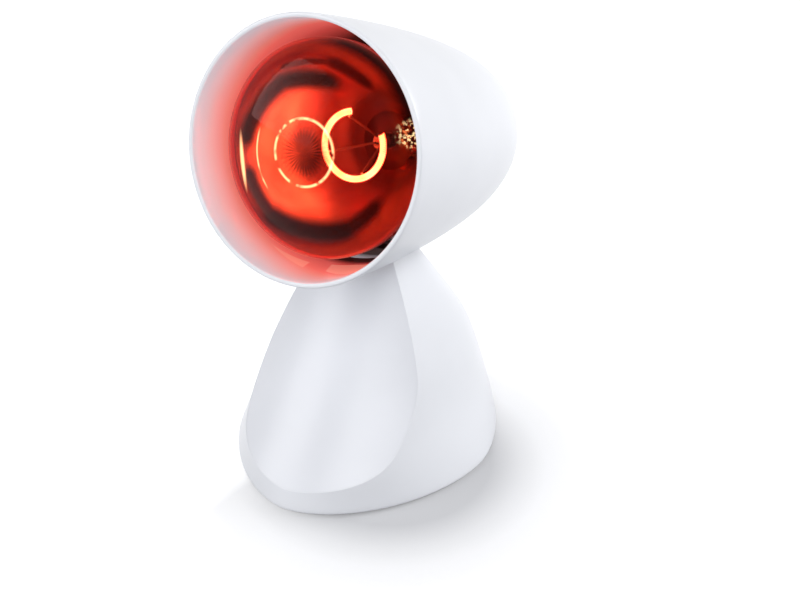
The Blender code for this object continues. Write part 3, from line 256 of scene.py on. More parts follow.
def rear_wall_frame(height, depth):
    """A frame on the rear wall's middle line: drawing X to -X, Y up the wall, Z out of it."""
    step = base_height / 8
    above, below, here = (base_reach(height + shift) for shift in (step / 2, -step / 2, 0.0))
    lean = math.atan2((below[2] + below[3]) - (above[2] + above[3]), step)
    outward = Vector((0.0, math.cos(lean), math.sin(lean)))
    upward = Vector((0.0, -math.sin(lean), math.cos(lean)))
    origin = Vector((0.0, base_centre_y + here[2] + here[3], height)) - outward * depth
    matrix = Matrix.Translation(origin)
    for column, axis in enumerate((Vector((-1.0, 0.0, 0.0)), upward, outward)):
        for row in range(3):
            matrix[row][column] = axis[row]
    return matrix


# Modelling, as by hand

def alone(item=None):
    """Leave edit mode, select nothing but this item and make it active."""
    if bpy.context.object is not None and bpy.context.object.mode != "OBJECT":
        bpy.ops.object.mode_set(mode="OBJECT")
    bpy.ops.object.select_all(action="DESELECT")
    if item is not None:
        item.select_set(True)
        bpy.context.view_layer.objects.active = item


def added(name):
    """The primitive that was just added, with its name."""
    item = bpy.context.object
    item.name = name
    item.data.name = name
    return item


def pick(item, test, kind="VERT"):
    """In edit mode, select the vertices or faces whose place passes a test."""
    alone(item)
    bpy.ops.object.mode_set(mode="EDIT")
    bpy.ops.mesh.select_mode(type=kind)
    bpy.ops.mesh.select_all(action="DESELECT")
    work = bmesh.from_edit_mesh(item.data)
    if kind == "FACE":
        for face in work.faces:
            face.select_set(test(item.matrix_world @ face.calc_center_median()))
    else:
        for vertex in work.verts:
            vertex.select_set(test(item.matrix_world @ vertex.co))
        work.select_flush_mode()
    bmesh.update_edit_mesh(item.data)


def tidy(item, distance=0.00001):
    """Merge doubles and turn every face outwards."""
    alone(item)
    bpy.ops.object.mode_set(mode="EDIT")
    bpy.ops.mesh.select_all(action="SELECT")
    bpy.ops.mesh.remove_doubles(threshold=distance)
    bpy.ops.mesh.normals_make_consistent(inside=False)
    bpy.ops.object.mode_set(mode="OBJECT")


def modify(item, kind, **settings):
    """Put a modifier on an item and apply it."""
    alone(item)
    modifier = item.modifiers.new(kind.lower(), kind)
    for name, value in settings.items():
        setattr(modifier, name, value)
    bpy.ops.object.modifier_apply(modifier=modifier.name)
    return item


def combine(item, other, operation="DIFFERENCE"):
    """Cut, join or keep the common part of two closed bodies, and drop the second."""
    modify(item, "BOOLEAN", operation=operation, object=other, solver="EXACT")
    bpy.data.objects.remove(other, do_unlink=True)
    return item


def bevel(item, width, segments=3, degrees=35.0):
    """Round the edges that are sharper than an angle."""
    return modify(item, "BEVEL", width=width, segments=segments, limit_method="ANGLE",
                  angle_limit=math.radians(degrees), use_clamp_overlap=True)


def joined(name, items):
    """One object of several that don't touch."""
    alone(items[0])
    for item in items:
        item.select_set(True)
    bpy.ops.object.join()
    return added(name)


def placed(item, matrix):
    """Move an item by a matrix and put its place into its mesh."""
    item.matrix_world = matrix @ item.matrix_world
    alone(item)
    bpy.ops.object.transform_apply(location=True, rotation=True, scale=True)
    return item


def lathe(name, line, facets, closed=False, matrix=mouth_frame):
    """A line of radius and depth turned about an axis: a circle, extruded and resized ring by ring."""
    line = [(max(radius, 0.000001), depth) for radius, depth in line]
    if closed:
        line.append(line[0])
    alone()
    bpy.ops.mesh.primitive_circle_add(vertices=facets, radius=line[0][0], location=(0.0, 0.0, -line[0][1]))
    item = added(name)
    bpy.ops.object.mode_set(mode="EDIT")
    bpy.ops.mesh.select_all(action="SELECT")
    for (radius, depth), (after, to) in zip(line, line[1:]):
        bpy.ops.mesh.extrude_region_move(TRANSFORM_OT_translate={"value": (0.0, 0.0, depth - to)})
        size = after / radius
        bpy.ops.transform.resize(value=(size, size, 1.0), center_override=(0.0, 0.0, -to))
    tidy(item)
    return placed(item, matrix)


def cylinder(name, radius, start, end, matrix, facets=48):
    """A round bar along the matrix's third axis."""
    alone()
    bpy.ops.mesh.primitive_cylinder_add(vertices=facets, radius=radius, depth=end - start,
                                        location=(0.0, 0.0, (start + end) / 2))
    return placed(added(name), matrix)


def block(name, low, high, matrix=Matrix.Identity(4)):
    """A block between two corners."""
    alone()
    low, high = Vector(low), Vector(high)
    bpy.ops.mesh.primitive_cube_add(size=1.0, location=(low + high) / 2, scale=high - low)
    return placed(added(name), matrix)


def grid(name, columns, rows, place):
    """A grid whose points are put where a rule says, by column and row."""
    alone()
    bpy.ops.mesh.primitive_grid_add(x_subdivisions=columns, y_subdivisions=rows, size=2.0)
    item = added(name)
    for index, vertex in enumerate(item.data.vertices):
        vertex.co = place(index % (columns + 1), index // (columns + 1))
    return item


def base_skin(name, inset, bottom, bottom_rounding, top, top_rounding, rows=56):
    """The base's closed outer form, drawn in by an inset, with its lower and upper edges rounded."""
    levels = []
    for step in range(5):
        turn = math.pi / 2 * step / 5
        levels.append((bottom + bottom_rounding * (1 - math.cos(turn)),
                       bottom_rounding * (1 - math.sin(turn))))
    start, stop = bottom + bottom_rounding, top - top_rounding
    levels += [(start + (stop - start) * step / rows, 0.0) for step in range(rows + 1)]
    for step in range(1, 6):
        turn = math.pi / 2 * step / 5
        levels.append((stop + top_rounding * math.sin(turn), top_rounding * (1 - math.cos(turn))))
    levels = [pair for index, pair in enumerate(levels) if index == 0 or pair != levels[index - 1]]
    facets = sizes().facets

    def place(column, row):
        level, extra = levels[row]
        height = max(level, 0.0)
        half, front, rear, middle = base_reach(height, inset + extra)
        power = 2 / (1.7 + 0.6 * min(height / (base_height / 2), 1.0))
        angle = math.tau * (column % facets) / facets
        across, along = math.cos(angle), math.sin(angle)
        x = half * math.copysign(abs(across) ** power, across)
        y = middle + (rear if along > 0 else front) * math.copysign(abs(along) ** power, along)
        return x, base_centre_y + y, level

    item = grid(name, facets, len(levels) - 1, place)
    alone(item)
    bpy.ops.object.mode_set(mode="EDIT")
    bpy.ops.mesh.select_all(action="SELECT")
    bpy.ops.mesh.remove_doubles(threshold=0.00001)
    bpy.ops.mesh.fill_holes(sides=0)
    tidy(item)
    return item


def face_slab(name, front, back):
    """A body between two copies of the crowned front face, moved forward and back."""
    columns, rows = 108, 120
    low, high, half = under_floor, base_height - under_floor, 0.0866

    def place(column, row):
        x = half * (2 * column / columns - 1)
        z = low + (high - low) * row / rows
        return x, base_centre_y + face_line(z) + x * x / (2 * face_crown_radius) - front, z

    item = grid(name, columns, rows, place)
    alone(item)
    bpy.ops.object.mode_set(mode="EDIT")
    bpy.ops.mesh.select_all(action="SELECT")
    bpy.ops.mesh.extrude_region_move(TRANSFORM_OT_translate={"value": (0.0, front + back, 0.0)})
    tidy(item)
    return item


def copy_of(node, name, width=0.0, segments=2, degrees=35.0):
    """A copy of a CAD node with its flat faces made whole and its corners rounded."""
    item = bpy.data.objects.new(name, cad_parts[node].data.copy())
    item.data.name = name
    item.data.materials.clear()
    bpy.context.scene.collection.objects.link(item)
    alone(item)
    bpy.ops.object.mode_set(mode="EDIT")
    bpy.ops.mesh.select_all(action="SELECT")
    bpy.ops.mesh.remove_doubles(threshold=0.000002)
    bpy.ops.mesh.dissolve_limited(angle_limit=math.radians(0.6))
    bpy.ops.object.mode_set(mode="OBJECT")
    if item.data.has_custom_normals:
        bpy.ops.mesh.customdata_custom_splitnormals_clear()
    if width:
        bevel(item, width, segments, degrees)
    return item


def finish(item, body, slot, finishes, nodes=(), degrees=32.0):
    """Put a piece's place into its mesh, give it its finishes, and let it ride on its body."""
    alone(item)
    bpy.ops.object.transform_apply(location=True, rotation=True, scale=True)
    bpy.ops.object.shade_smooth_by_angle(angle=math.radians(degrees))
    for index, material in enumerate(finishes):
        if index < len(item.data.materials):
            item.data.materials[index] = material
        else:
            item.data.materials.append(material)
    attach(item, body)
    if nodes:
        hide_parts(*nodes)
    return item


# Finishes

def add(tree, kind, links=None, stops=None, **settings):
    """Add a shader node and give its first output that is in use.

    A socket given for an input is linked and any other value is set. Stops fill a ramp.
    """
    node = tree.nodes.new("ShaderNode" + kind)
    for name, value in settings.items():
        setattr(node, name, value)
    for name, value in (links or {}).items():
        if isinstance(value, bpy.types.NodeSocket):
            tree.links.new(value, node.inputs[name])
        else:
            node.inputs[name].default_value = value
    for index, (place, colour) in enumerate(stops or ()):
        elements = node.color_ramp.elements
        element = elements[index] if index < 2 else elements.new(place)
        element.position = place
        element.color = (*colour, 1.0)
    return next(socket for socket in node.outputs if socket.enabled)


def new_finish(name, colour, roughness, **values):
    """A material with its tree, its Principled shader and its object coordinates."""
    material = bpy.data.materials.new(name)
    material.use_nodes = True
    tree = material.node_tree
    shader = tree.nodes["Principled BSDF"]
    shader.inputs["Base Color"].default_value = (*colour, 1.0)
    shader.inputs["Roughness"].default_value = roughness
    for socket, value in values.items():
        shader.inputs[socket.replace("_", " ")].default_value = value
    return material, tree, shader, add(tree, "TexCoord").node.outputs["Object"]


def mm(size):
    """The scale at which a pattern of Object coordinates repeats about every so many millimetres."""
    return 1000.0 / size


def relief(tree, shader, where, size, detail, strength, depth):
    """Give a finish a fine relief whose pattern has a size in millimetres, and give that pattern back."""
    height = add(tree, "TexNoise", {"Vector": where, "Scale": mm(size), "Detail": detail})
    normal = add(tree, "Bump", {"Height": height, "Strength": strength, "Distance": depth})
    tree.links.new(normal, shader.inputs["Normal"])
    return height


def painted_shade_in_hood(tree, where, tone):
    """Paint a dark maroon shade on the front of the neck where it stands inside the hood, and leave the rest.
    """
    place = in_mouth(tree, where)
    flat = add(tree, "VectorMath", {0: place, 1: (1.0, 1.0, 0.0)}, operation="MULTIPLY")
    reach = add(tree, "VectorMath", {0: flat}, operation="LENGTH")
    within = add(tree, "MapRange", {"Value": reach, "From Min": 0.0532, "From Max": 0.0516})
    out = add(tree, "SeparateXYZ", {"Vector": place}).node.outputs["Z"]
    ahead = add(tree, "MapRange", {"Value": out, "From Min": -0.0700, "From Max": -0.0670})
    dark = add(tree, "Math", {0: within, 1: ahead}, operation="MULTIPLY")
    return add(tree, "Mix", {"Factor": dark, "A": tone, "B": (*linear("#2A1412"), 1.0)}, data_type="RGBA")


def moulded_abs(name, colour, roughness, grain=1.6, depth=0.00002, with_painted_shade=False):
    """Injection-moulded ABS: the mould leaves a faint ripple, and handling a slow drift of sheen.

    The eye sees an even satin plastic with broad, soft lights. The ripple is drawn coarser than the real one.
    Where asked, painted shade darkens the front of the neck where it stands inside the hood.
    """
    material, tree, shader, where = new_finish(name, colour, roughness, IOR=1.53)
    drift = add(tree, "TexNoise", {"Vector": where, "Scale": mm(38.0), "Detail": 2.0})
    low = tuple(channel * 0.975 for channel in colour)
    tone = add(tree, "ValToRGB", {"Fac": drift}, [(0.35, low), (0.65, colour)])
    # Painted shade: the neck's front inside the hood goes dark maroon
    if with_painted_shade:
        tone = painted_shade_in_hood(tree, where, tone)
    tree.links.new(tone, shader.inputs["Base Color"])
    rub = add(tree, "TexNoise", {"Vector": where, "Scale": mm(9.0), "Detail": 3.0})
    sheen = add(tree, "MapRange", {"Value": rub, "To Min": roughness - 0.03, "To Max": roughness + 0.04})
    tree.links.new(sheen, shader.inputs["Roughness"])
    relief(tree, shader, where, grain, 2.0, 0.25, depth)
    return material


def metal(name, colour, roughness, grain=(0.4, 0.4, 0.4), tarnish=0.85):
    """Bare or plated metal, rolled, drawn or turned: a fine grain of its making and a slow, slight tarnish.

    The eye sees a broken mirror whose lights spread along the grain, a little duller in patches.
    """
    material, tree, shader, where = new_finish(name, colour, roughness, Metallic=1.0)
    stretched = add(tree, "Mapping", {"Vector": where, "Scale": tuple(mm(size) for size in grain)})
    lines = add(tree, "TexNoise", {"Vector": stretched, "Scale": 1.0, "Detail": 3.0})
    sheen = add(tree, "MapRange", {"Value": lines, "To Min": roughness - 0.08, "To Max": roughness + 0.10})
    tree.links.new(sheen, shader.inputs["Roughness"])
    patch = add(tree, "TexNoise", {"Vector": where, "Scale": mm(14.0), "Detail": 3.0})
    dull = tuple(channel * tarnish for channel in colour)
    tone = add(tree, "ValToRGB", {"Fac": patch}, [(0.3, dull), (0.7, colour)])
    tree.links.new(tone, shader.inputs["Base Color"])
    bump = add(tree, "Bump", {"Height": lines, "Strength": 0.3, "Distance": 0.00002})
    tree.links.new(bump, shader.inputs["Normal"])
    return material


@cache
def rubber():
    """Moulded black rubber. The eye sees a matt dark grey, finely pitted and greyed by dust."""
    material, tree, shader, where = new_finish("moulded_rubber", linear("#1C1D20"), 0.7, IOR=1.52)
    dust = add(tree, "TexNoise", {"Vector": where, "Scale": mm(4.0), "Detail": 4.0})
    tone = add(tree, "ValToRGB", {"Fac": dust}, [(0.35, linear("#17181A")), (0.75, linear("#2C2D30"))])
    tree.links.new(tone, shader.inputs["Base Color"])
    relief(tree, shader, where, 0.5, 2.0, 0.4, 0.00005)
    return material


def porcelain():
    """Fired and glazed porcelain. The eye sees a cream body with a few grey specks under a wavy gloss."""
    material, tree, shader, where = new_finish("glazed_porcelain", linear("#EDE8DC"), 0.22, IOR=1.55)
    shader.inputs["Coat Weight"].default_value = 0.6
    shader.inputs["Coat Roughness"].default_value = 0.06
    specks = add(tree, "TexNoise", {"Vector": where, "Scale": mm(1.2), "Detail": 2.0})
    tone = add(tree, "ValToRGB", {"Fac": specks},
               [(0.27, linear("#B9B2A4")), (0.33, linear("#EDE8DC")), (1.0, linear("#F2EEE4"))])
    tree.links.new(tone, shader.inputs["Base Color"])
    relief(tree, shader, where, 5.0, 1.0, 0.15, 0.0001)
    return material


def blown_glass(name, colour, transmission, roughness=0.04):
    """Drawn or blown glass. The eye sees a sharp gloss with a slight wave of its making."""
    material, tree, shader, where = new_finish(name, colour, roughness, IOR=1.5)
    shader.inputs["Transmission Weight"].default_value = transmission
    wave = relief(tree, shader, where, 11.0, 1.0, 0.2, 0.0003)
    tone = add(tree, "ValToRGB", {"Fac": wave}, [(0.3, tuple(c * 0.94 for c in colour)), (0.7, colour)])
    tree.links.new(tone, shader.inputs["Base Color"])
    return material


def in_mouth(tree, where):
    """Object coordinates turned and centred on the hood's mouth: X right, Y up, Z out of the mouth."""
    inverse = mouth_frame.inverted()
    return add(tree, "Mapping", {"Vector": where, "Location": inverse.translation,
                                 "Rotation": inverse.to_euler()})


def spot(tree, place, centre, radii, degrees):
    """A soft spot with its centre and radii in metres, turned by some degrees."""
    turn = (0.0, 0.0, math.radians(degrees))
    near = add(tree, "Mapping", {"Vector": place, "Location": centre, "Scale": radii, "Rotation": turn},
               vector_type="TEXTURE")
    far = add(tree, "VectorMath", {0: near}, operation="LENGTH")
    return add(tree, "MapRange", {"Value": far, "From Min": 1.0, "From Max": 0.35},
               interpolation_type="SMOOTHSTEP")


def strokes(tree, place, lines):
    """The largest of several soft strokes, each from a point to a point, its half width and its strength."""
    total = None
    for (x, y), (to_x, to_y), width, strength in lines:
        start = Vector((x, y, 0.0)) / 1000
        along = Vector((to_x - x, to_y - y, 0.0)) / 1000
        here = add(tree, "VectorMath", {0: place, 1: start}, operation="SUBTRACT")
        share = add(tree, "VectorMath", {0: here, 1: along / along.length_squared}, operation="DOT_PRODUCT")
        share = add(tree, "MapRange", {"Value": share})
        foot = add(tree, "VectorMath", {0: along, "Scale": share}, operation="SCALE")
        off = add(tree, "VectorMath", {0: here, 1: foot}, operation="DISTANCE")
        fade = add(tree, "MapRange", {"Value": off, "From Min": width / 900, "From Max": width / 4000,
                                      "To Max": strength}, interpolation_type="SMOOTHSTEP")
        if total is None:
            total = fade
        else:
            total = add(tree, "Math", {0: total, 1: fade}, operation="MAXIMUM")
    return total


def window(tree, place, corners):
    """1 inside a convex patch, whose corners in millimetres go round it anticlockwise, and 0 outside it."""
    total = None
    for (x, y), (next_x, next_y) in zip(corners, corners[1:] + corners[:1]):
        inward = Vector((y - next_y, next_x - x, 0.0)).normalized()
        reach = add(tree, "VectorMath", {0: place, 1: inward}, operation="DOT_PRODUCT")
        edge = inward.dot(Vector((x, y, 0.0))) / 1000.0
        fade = add(tree, "MapRange", {"Value": reach, "From Min": edge - 0.0004, "From Max": edge + 0.0004})
        if total is None:
            total = fade
        else:
            total = add(tree, "Math", {0: total, 1: fade}, operation="MULTIPLY")
    return total


def hood_wall_painted_glow():
    """The hood's inner wall: moulded ABS, polished by its core, with the bulb's light and shade painted on.

    The eye sees near-white at the lip, pink and then clear red beside the bulb, and maroon behind it. The
    painted red starts sooner under the bulb, where two pale patches are painted reflections of windows. The
    first ramp paints the red light and the shade into the wall's base colour, and the second paints the
    bulb's light on the wall as a glow, cool at the lip.
    """
    white = colours().hood_white
    material, tree, shader, where = new_finish("moulded_abs_painted_bulb_glow", white, 0.27, IOR=1.53)
    parts = add(tree, "SeparateXYZ", {"Vector": in_mouth(tree, where)}).node.outputs
    depth = add(tree, "Math", {0: parts["Z"], 1: -1.0}, operation="MULTIPLY")
    low = add(tree, "MapRange", {"Value": parts["Y"], "From Min": 0.0, "From Max": -0.03})
    sag = add(tree, "MapRange", {"Value": parts["X"], "From Min": -0.020, "From Max": 0.012,
                                 "To Max": 0.007}, interpolation_type="SMOOTHSTEP")
    sag = add(tree, "Math", {0: sag, 1: low}, operation="MULTIPLY")
    wave = add(tree, "TexNoise", {"Vector": where, "Scale": mm(30.0), "Detail": 1.0})
    shift = add(tree, "MapRange", {"Value": wave, "To Min": -0.0025, "To Max": 0.0025})
    ahead = add(tree, "Math", {0: sag, 1: shift}, operation="ADD")
    ahead = add(tree, "Math", {0: depth, 1: ahead}, operation="ADD")
    share = add(tree, "MapRange", {"Value": ahead, "From Min": 0.0, "From Max": 0.09})
    # Painted light and shade: the bulb's red light and the dark behind the bulb, drawn into the base colour
    # by depth
    painted_wash = add(tree, "ValToRGB", {"Fac": share}, [
        (0.000, linear("#EBD3D5")), (1.000, linear("#1C0605")), (0.045, linear("#ECC9CA")),
        (0.100, linear("#EDBBB9")), (0.155, linear("#F0A8A2")), (0.200, linear("#F2958C")),
        (0.245, linear("#F08074")), (0.310, linear("#EC6557")), (0.400, linear("#DC594D")),
        (0.500, linear("#C8483F")), (0.650, linear("#9C352E")), (0.800, linear("#561813"))])
    unrolled = add(tree, "CombineXYZ", {"X": parts["X"], "Y": depth})
    # Painted reflections: two windows, seen as pale patches on the wall under the bulb
    left = window(tree, unrolled, [(-22.6, 24.4), (-3.3, 20.9), (-4.9, 29.1)])
    right = window(tree, unrolled, [(3.5, 34.3), (7.1, 23.6), (17.0, 18.5), (27.0, 16.0), (30.0, 34.0),
                                    (14.0, 38.0)])
    painted_windows = add(tree, "Math", {0: left, 1: right}, operation="ADD")
    painted_windows = add(tree, "Math", {0: painted_windows, 1: low}, operation="MULTIPLY")
    painted_windows = add(tree, "Math", {0: painted_windows, 1: 0.8}, operation="MULTIPLY")
    # Painted light: the bulb's red light on the wall, given as a glow by depth
    light = add(tree, "ValToRGB", {"Fac": share}, [
        (0.000, linear("#6C8D95")), (1.000, linear("#0C0302")), (0.045, linear("#7A939A")),
        (0.100, linear("#8B9095")), (0.155, linear("#9C8585")), (0.200, linear("#AA7977")),
        (0.245, linear("#B46F66")), (0.310, linear("#C25B54")), (0.400, linear("#BC524C")),
        (0.500, linear("#AC3F3A")), (0.650, linear("#852C28")), (0.800, linear("#3C1210"))])
    # Painted shade: deeper than about 40 mm, the wall under the bulb goes near black
    behind = add(tree, "MapRange", {"Value": depth, "From Min": 0.037, "From Max": 0.044})
    shade = add(tree, "Math", {0: behind, 1: low}, operation="MULTIPLY")
    # Both ramps get the painted window reflections and then the painted shade
    for colour, patch, socket in ((painted_wash, "#FCA58E", "Base Color"), (light, "#C76F61", "Emission Color")):
        seen = add(tree, "Mix", {"Factor": painted_windows, "A": colour, "B": (*linear(patch), 1.0)}, data_type="RGBA")
        seen = add(tree, "Mix", {"Factor": shade, "A": seen, "B": (*linear("#240705"), 1.0)},
                   data_type="RGBA")
        tree.links.new(seen, shader.inputs[socket])
    shader.inputs["Emission Strength"].default_value = 1.0
    relief(tree, shader, where, 1.6, 2.0, 0.25, 0.00002)
    return material


def reflector():
    """Vacuum-deposited aluminium inside the glass cone, with the filament's light on it painted as a glow.

    The eye sees a bright middle, a broad ring of orange-red, and dark bands where it mirrors the room, all
    painted: the glow is painted light and the bands are painted reflections. The bands are drawn on the
    unrolled cone, in millimetres: round it from its left, and down its depth.
    """
    material, tree, shader, where = new_finish("aluminised_reflector", linear("#C9BFBC"), 0.26, Metallic=1.0)
    unrolled_radius = 0.042
    place = in_mouth(tree, where)
    parts = add(tree, "SeparateXYZ", {"Vector": place}).node.outputs
    deep = add(tree, "Math", {0: parts["Z"], 1: -1.0}, operation="MULTIPLY")
    share = add(tree, "MapRange", {"Value": deep, "From Min": 0.019, "From Max": 0.100})
    # Painted light: how bright the filament's glow on the reflector is, by depth
    level = add(tree, "ValToRGB", {"Fac": share}, [
        (0.00, linear("#F0F0F0")), (1.0, linear("#8C8C8C")), (0.06, linear("#E4E4E4")),
        (0.16, linear("#D8D8D8")), (0.45, linear("#EAEAEA")), (0.66, linear("#C4C4C4"))])
    across, down = (add(tree, "Math", {0: parts[axis], 1: -1.0}, operation="MULTIPLY")
                    for axis in "XY")
    turn = add(tree, "Math", {0: down, 1: across}, operation="ARCTAN2")
    turn = add(tree, "Math", {0: turn, 1: unrolled_radius}, operation="MULTIPLY")
    unrolled = add(tree, "CombineXYZ", {"X": turn, "Y": deep})
    # Painted reflections: dark bands where the reflector mirrors the dark room
    dark = strokes(tree, unrolled, [
        ((3.0, 28.5), (-22.0, 38.5), 8.5, 1.0), ((-22.0, 38.5), (-34.0, 54.0), 9.0, 1.0),
        ((20.5, 27.5), (41.0, 29.0), 6.5, 0.96), ((41.0, 29.0), (67.0, 45.0), 11.5, 1.0),
        ((67.0, 45.0), (75.5, 58.0), 9.5, 0.96), ((-30.0, 34.0), (-46.0, 48.5), 3.4, 0.75),
        ((-46.0, 48.5), (-53.0, 62.0), 7.0, 0.85)])
    ripple = add(tree, "TexNoise", {"Vector": place, "Scale": mm(13.0), "Detail": 3.0, "Distortion": 0.6})
    streak = add(tree, "MapRange", {"Value": ripple, "From Min": 0.3, "From Max": 0.7,
                                    "To Min": 0.72, "To Max": 1.12})
    keep = add(tree, "MapRange", {"Value": dark, "To Min": 1.0, "To Max": 0.02})
    keep = add(tree, "Math", {0: keep, 1: streak}, operation="MULTIPLY")
    # The painted dark bands also darken the base colour
    mirror = add(tree, "Mix", {"Factor": keep, "A": (0.004, 0.003, 0.003, 1.0),
                               "B": (*linear("#A89C99"), 1.0)}, data_type="RGBA")
    tree.links.new(mirror, shader.inputs["Base Color"])
    tint = add(tree, "Mix", {"Factor": 1.0, "A": level, "B": (*colours().glow, 1.0)},
               data_type="RGBA", blend_type="MULTIPLY")
    tree.links.new(tint, shader.inputs["Emission Color"])
    tree.links.new(keep, shader.inputs["Emission Strength"])
    return material


def dome_tint(tree, place, flat):
    """The dome's colour: an orange shoulder of painted light, a rim darkened by painted shade where it faces
    the hood, a ribbed dark middle.
    """
    ruby = tuple(colours().ruby)
    reach = add(tree, "VectorMath", {0: flat}, operation="LENGTH")
    turned = add(tree, "MapRange", {"Value": reach, "From Min": 0.036, "From Max": 0.0475})
    # Painted light: the shoulder goes orange where the glass turns away, in place of the light the curved
    # glass sends back
    painted_shoulder = add(tree, "ValToRGB", {"Fac": turned}, [
        (0.0, ruby), (1.0, linear("#EE5234")), (0.35, linear("#DC3C26")), (0.55, linear("#F05C3A"))])
    middle = (0.0010, 0.0, 0.0)
    off = add(tree, "VectorMath", {0: flat, 1: middle}, operation="DISTANCE")
    offset = add(tree, "VectorMath", {0: flat, 1: middle}, operation="SUBTRACT")
    parts = add(tree, "SeparateXYZ", {"Vector": offset}).node.outputs
    angle = add(tree, "Math", {0: parts["Y"], 1: parts["X"]}, operation="ARCTAN2")
    ribs = add(tree, "Math", {0: angle, 1: 34.0}, operation="MULTIPLY")
    ribs = add(tree, "Math", {0: ribs}, operation="SINE")
    rough = add(tree, "TexNoise", {"Vector": place, "Scale": mm(3.0), "Detail": 3.0})
    ribs = add(tree, "Math", {0: ribs, 1: rough}, operation="MULTIPLY")
    ribs = add(tree, "MapRange", {"Value": ribs, "From Min": -0.6, "From Max": 0.6, "To Min": 0.55,
                                  "To Max": 1.0})
    within = add(tree, "MapRange", {"Value": off, "From Min": 0.0138, "From Max": 0.0065},
                 interpolation_type="SMOOTHSTEP")
    shade = add(tree, "Math", {0: within, 1: ribs}, operation="MULTIPLY")
    # Painted shade: the rim goes dark on the side that faces the hood
    aside = add(tree, "VectorMath", {0: flat, 1: (0.64, 0.77, 0.0)}, operation="DOT_PRODUCT")
    aside = add(tree, "MapRange", {"Value": aside, "From Min": 0.024, "From Max": 0.038})
    rim = add(tree, "MapRange", {"Value": reach, "From Min": 0.0432, "From Max": 0.0462})
    rim = add(tree, "Math", {0: rim, 1: aside}, operation="MULTIPLY")
    tint = painted_shoulder
    for amount, colour in ((shade, "#481610"), (rim, "#2A0806")):
        tint = add(tree, "Mix", {"Factor": amount, "A": tint, "B": (*linear(colour), 1.0)},
                   data_type="RGBA")
    return tint


def dome_painted_highlights(tree, place, flat):
    """Painted highlights, where the dome would mirror something bright: a crescent, two fine broken arcs and
    a sparkle.
    """
    painted_shine = spot(tree, flat, (-0.0312, -0.0108, 0.0), (0.0150, 0.0017, 1.0), -76.0)
    lower_left = (-0.956, -0.292, 0.0)
    arcs = (((0.0010, 0.0, 0.0), 0.0142, 0.0008, 6.0, 0.38, -1.0),
            ((0.0030, 0.0, 0.0), 0.0262, 0.0005, 11.0, 0.30, 0.0227))
    for centre, radius, width, grain, least, limit in arcs:
        away = add(tree, "VectorMath", {0: flat, 1: centre}, operation="SUBTRACT")
        toward = add(tree, "VectorMath", {0: away, 1: lower_left}, operation="DOT_PRODUCT")
        away = add(tree, "VectorMath", {0: away}, operation="LENGTH")
        away = add(tree, "Math", {0: away, 1: radius}, operation="SUBTRACT")
        away = add(tree, "Math", {0: away}, operation="ABSOLUTE")
        line = add(tree, "MapRange", {"Value": away, "From Min": width, "From Max": width / 4})
        breaks = add(tree, "TexNoise", {"Vector": place, "Scale": mm(grain), "Detail": 2.0})
        breaks = add(tree, "MapRange", {"Value": breaks, "From Min": least, "From Max": least + 0.1})
        side = add(tree, "MapRange", {"Value": toward, "From Min": limit, "From Max": limit + 0.002})
        for part in (breaks, side):
            line = add(tree, "Math", {0: line, 1: part}, operation="MULTIPLY")
        painted_shine = add(tree, "Math", {0: painted_shine, 1: line}, operation="MAXIMUM")
    painted_glint = spot(tree, flat, (0.0430, 0.0158, 0.0), (0.0075, 0.0055, 1.0), -70.0)
    crumbs = add(tree, "TexNoise", {"Vector": place, "Scale": mm(1.6), "Detail": 2.0})
    crumbs = add(tree, "MapRange", {"Value": crumbs, "From Min": 0.52, "From Max": 0.60})
    painted_glint = add(tree, "Math", {0: painted_glint, 1: crumbs}, operation="MULTIPLY")
    return add(tree, "Math", {0: painted_shine, 1: painted_glint}, operation="MAXIMUM")


def ruby_dome():
    """Blown ruby glass: a clear deep red that lets the filament through nearly white.

    The eye sees an orange shoulder where the glass turns away, a bright crescent and fine bright arcs where
    it mirrors the studio, and a thin bright ring round a dark ribbed middle. The shoulder is painted light,
    and the crescent, the arcs and the ring are painted highlights, drawn as a glow.
    """
    material, tree, shader, where = new_finish("blown_ruby_glass", colours().ruby, 0.03, IOR=1.5)
    shader.inputs["Transmission Weight"].default_value = 1.0
    shader.inputs["Specular Tint"].default_value = (0.04, 0.03, 0.03, 1.0)
    place = in_mouth(tree, where)
    flat = add(tree, "VectorMath", {0: place, 1: (1.0, 1.0, 0.0)}, operation="MULTIPLY")
    tree.links.new(dome_tint(tree, place, flat), shader.inputs["Base Color"])
    # Colour of the painted highlights on the dome
    shader.inputs["Emission Color"].default_value = (*linear("#FFE3A4"), 1.0)
    tree.links.new(dome_painted_highlights(tree, place, flat), shader.inputs["Emission Strength"])
    relief(tree, shader, where, 16.0, 1.0, 0.15, 0.0004)
    return material


def glowing_tungsten():
    """Drawn tungsten wire, coiled and white-hot. The eye sees a creamy glare, a little warmer in places."""
    material, tree, shader, where = new_finish("glowing_tungsten", linear("#FFE0A0"), 0.4)
    hot = add(tree, "TexNoise", {"Vector": where, "Scale": mm(5.0), "Detail": 1.0})
    tone = add(tree, "ValToRGB", {"Fac": hot}, [(0.3, linear("#FFDC9C")), (0.7, linear("#FFF4DC"))])
    tree.links.new(tone, shader.inputs["Emission Color"])
    shader.inputs["Emission Strength"].default_value = 20.0
    return material


@cache
def zinc():
    """Zinc-plated steel: a cool grey with soft, broken lights."""
    return metal("zinc_plated_steel", linear("#B9BBBF"), 0.34)


@cache
def brass():
    """Rolled brass: a warm yellow, bright where it is bent."""
    return metal("rolled_brass", linear("#CDAA5E"), 0.30)


@cache
def aluminium():
    """Drawn aluminium: a pale grey whose grain runs along the draw."""
    return metal("drawn_aluminium", linear("#D2D3D5"), 0.30, (0.3, 0.3, 3.0))


@cache
def grey_abs():
    """Grey ABS from a textured mould: duller and coarser than the white mouldings."""
    return moulded_abs("grey_moulded_abs", linear("#A3A5A9"), 0.46, 1.0, 0.00004)


# Operators

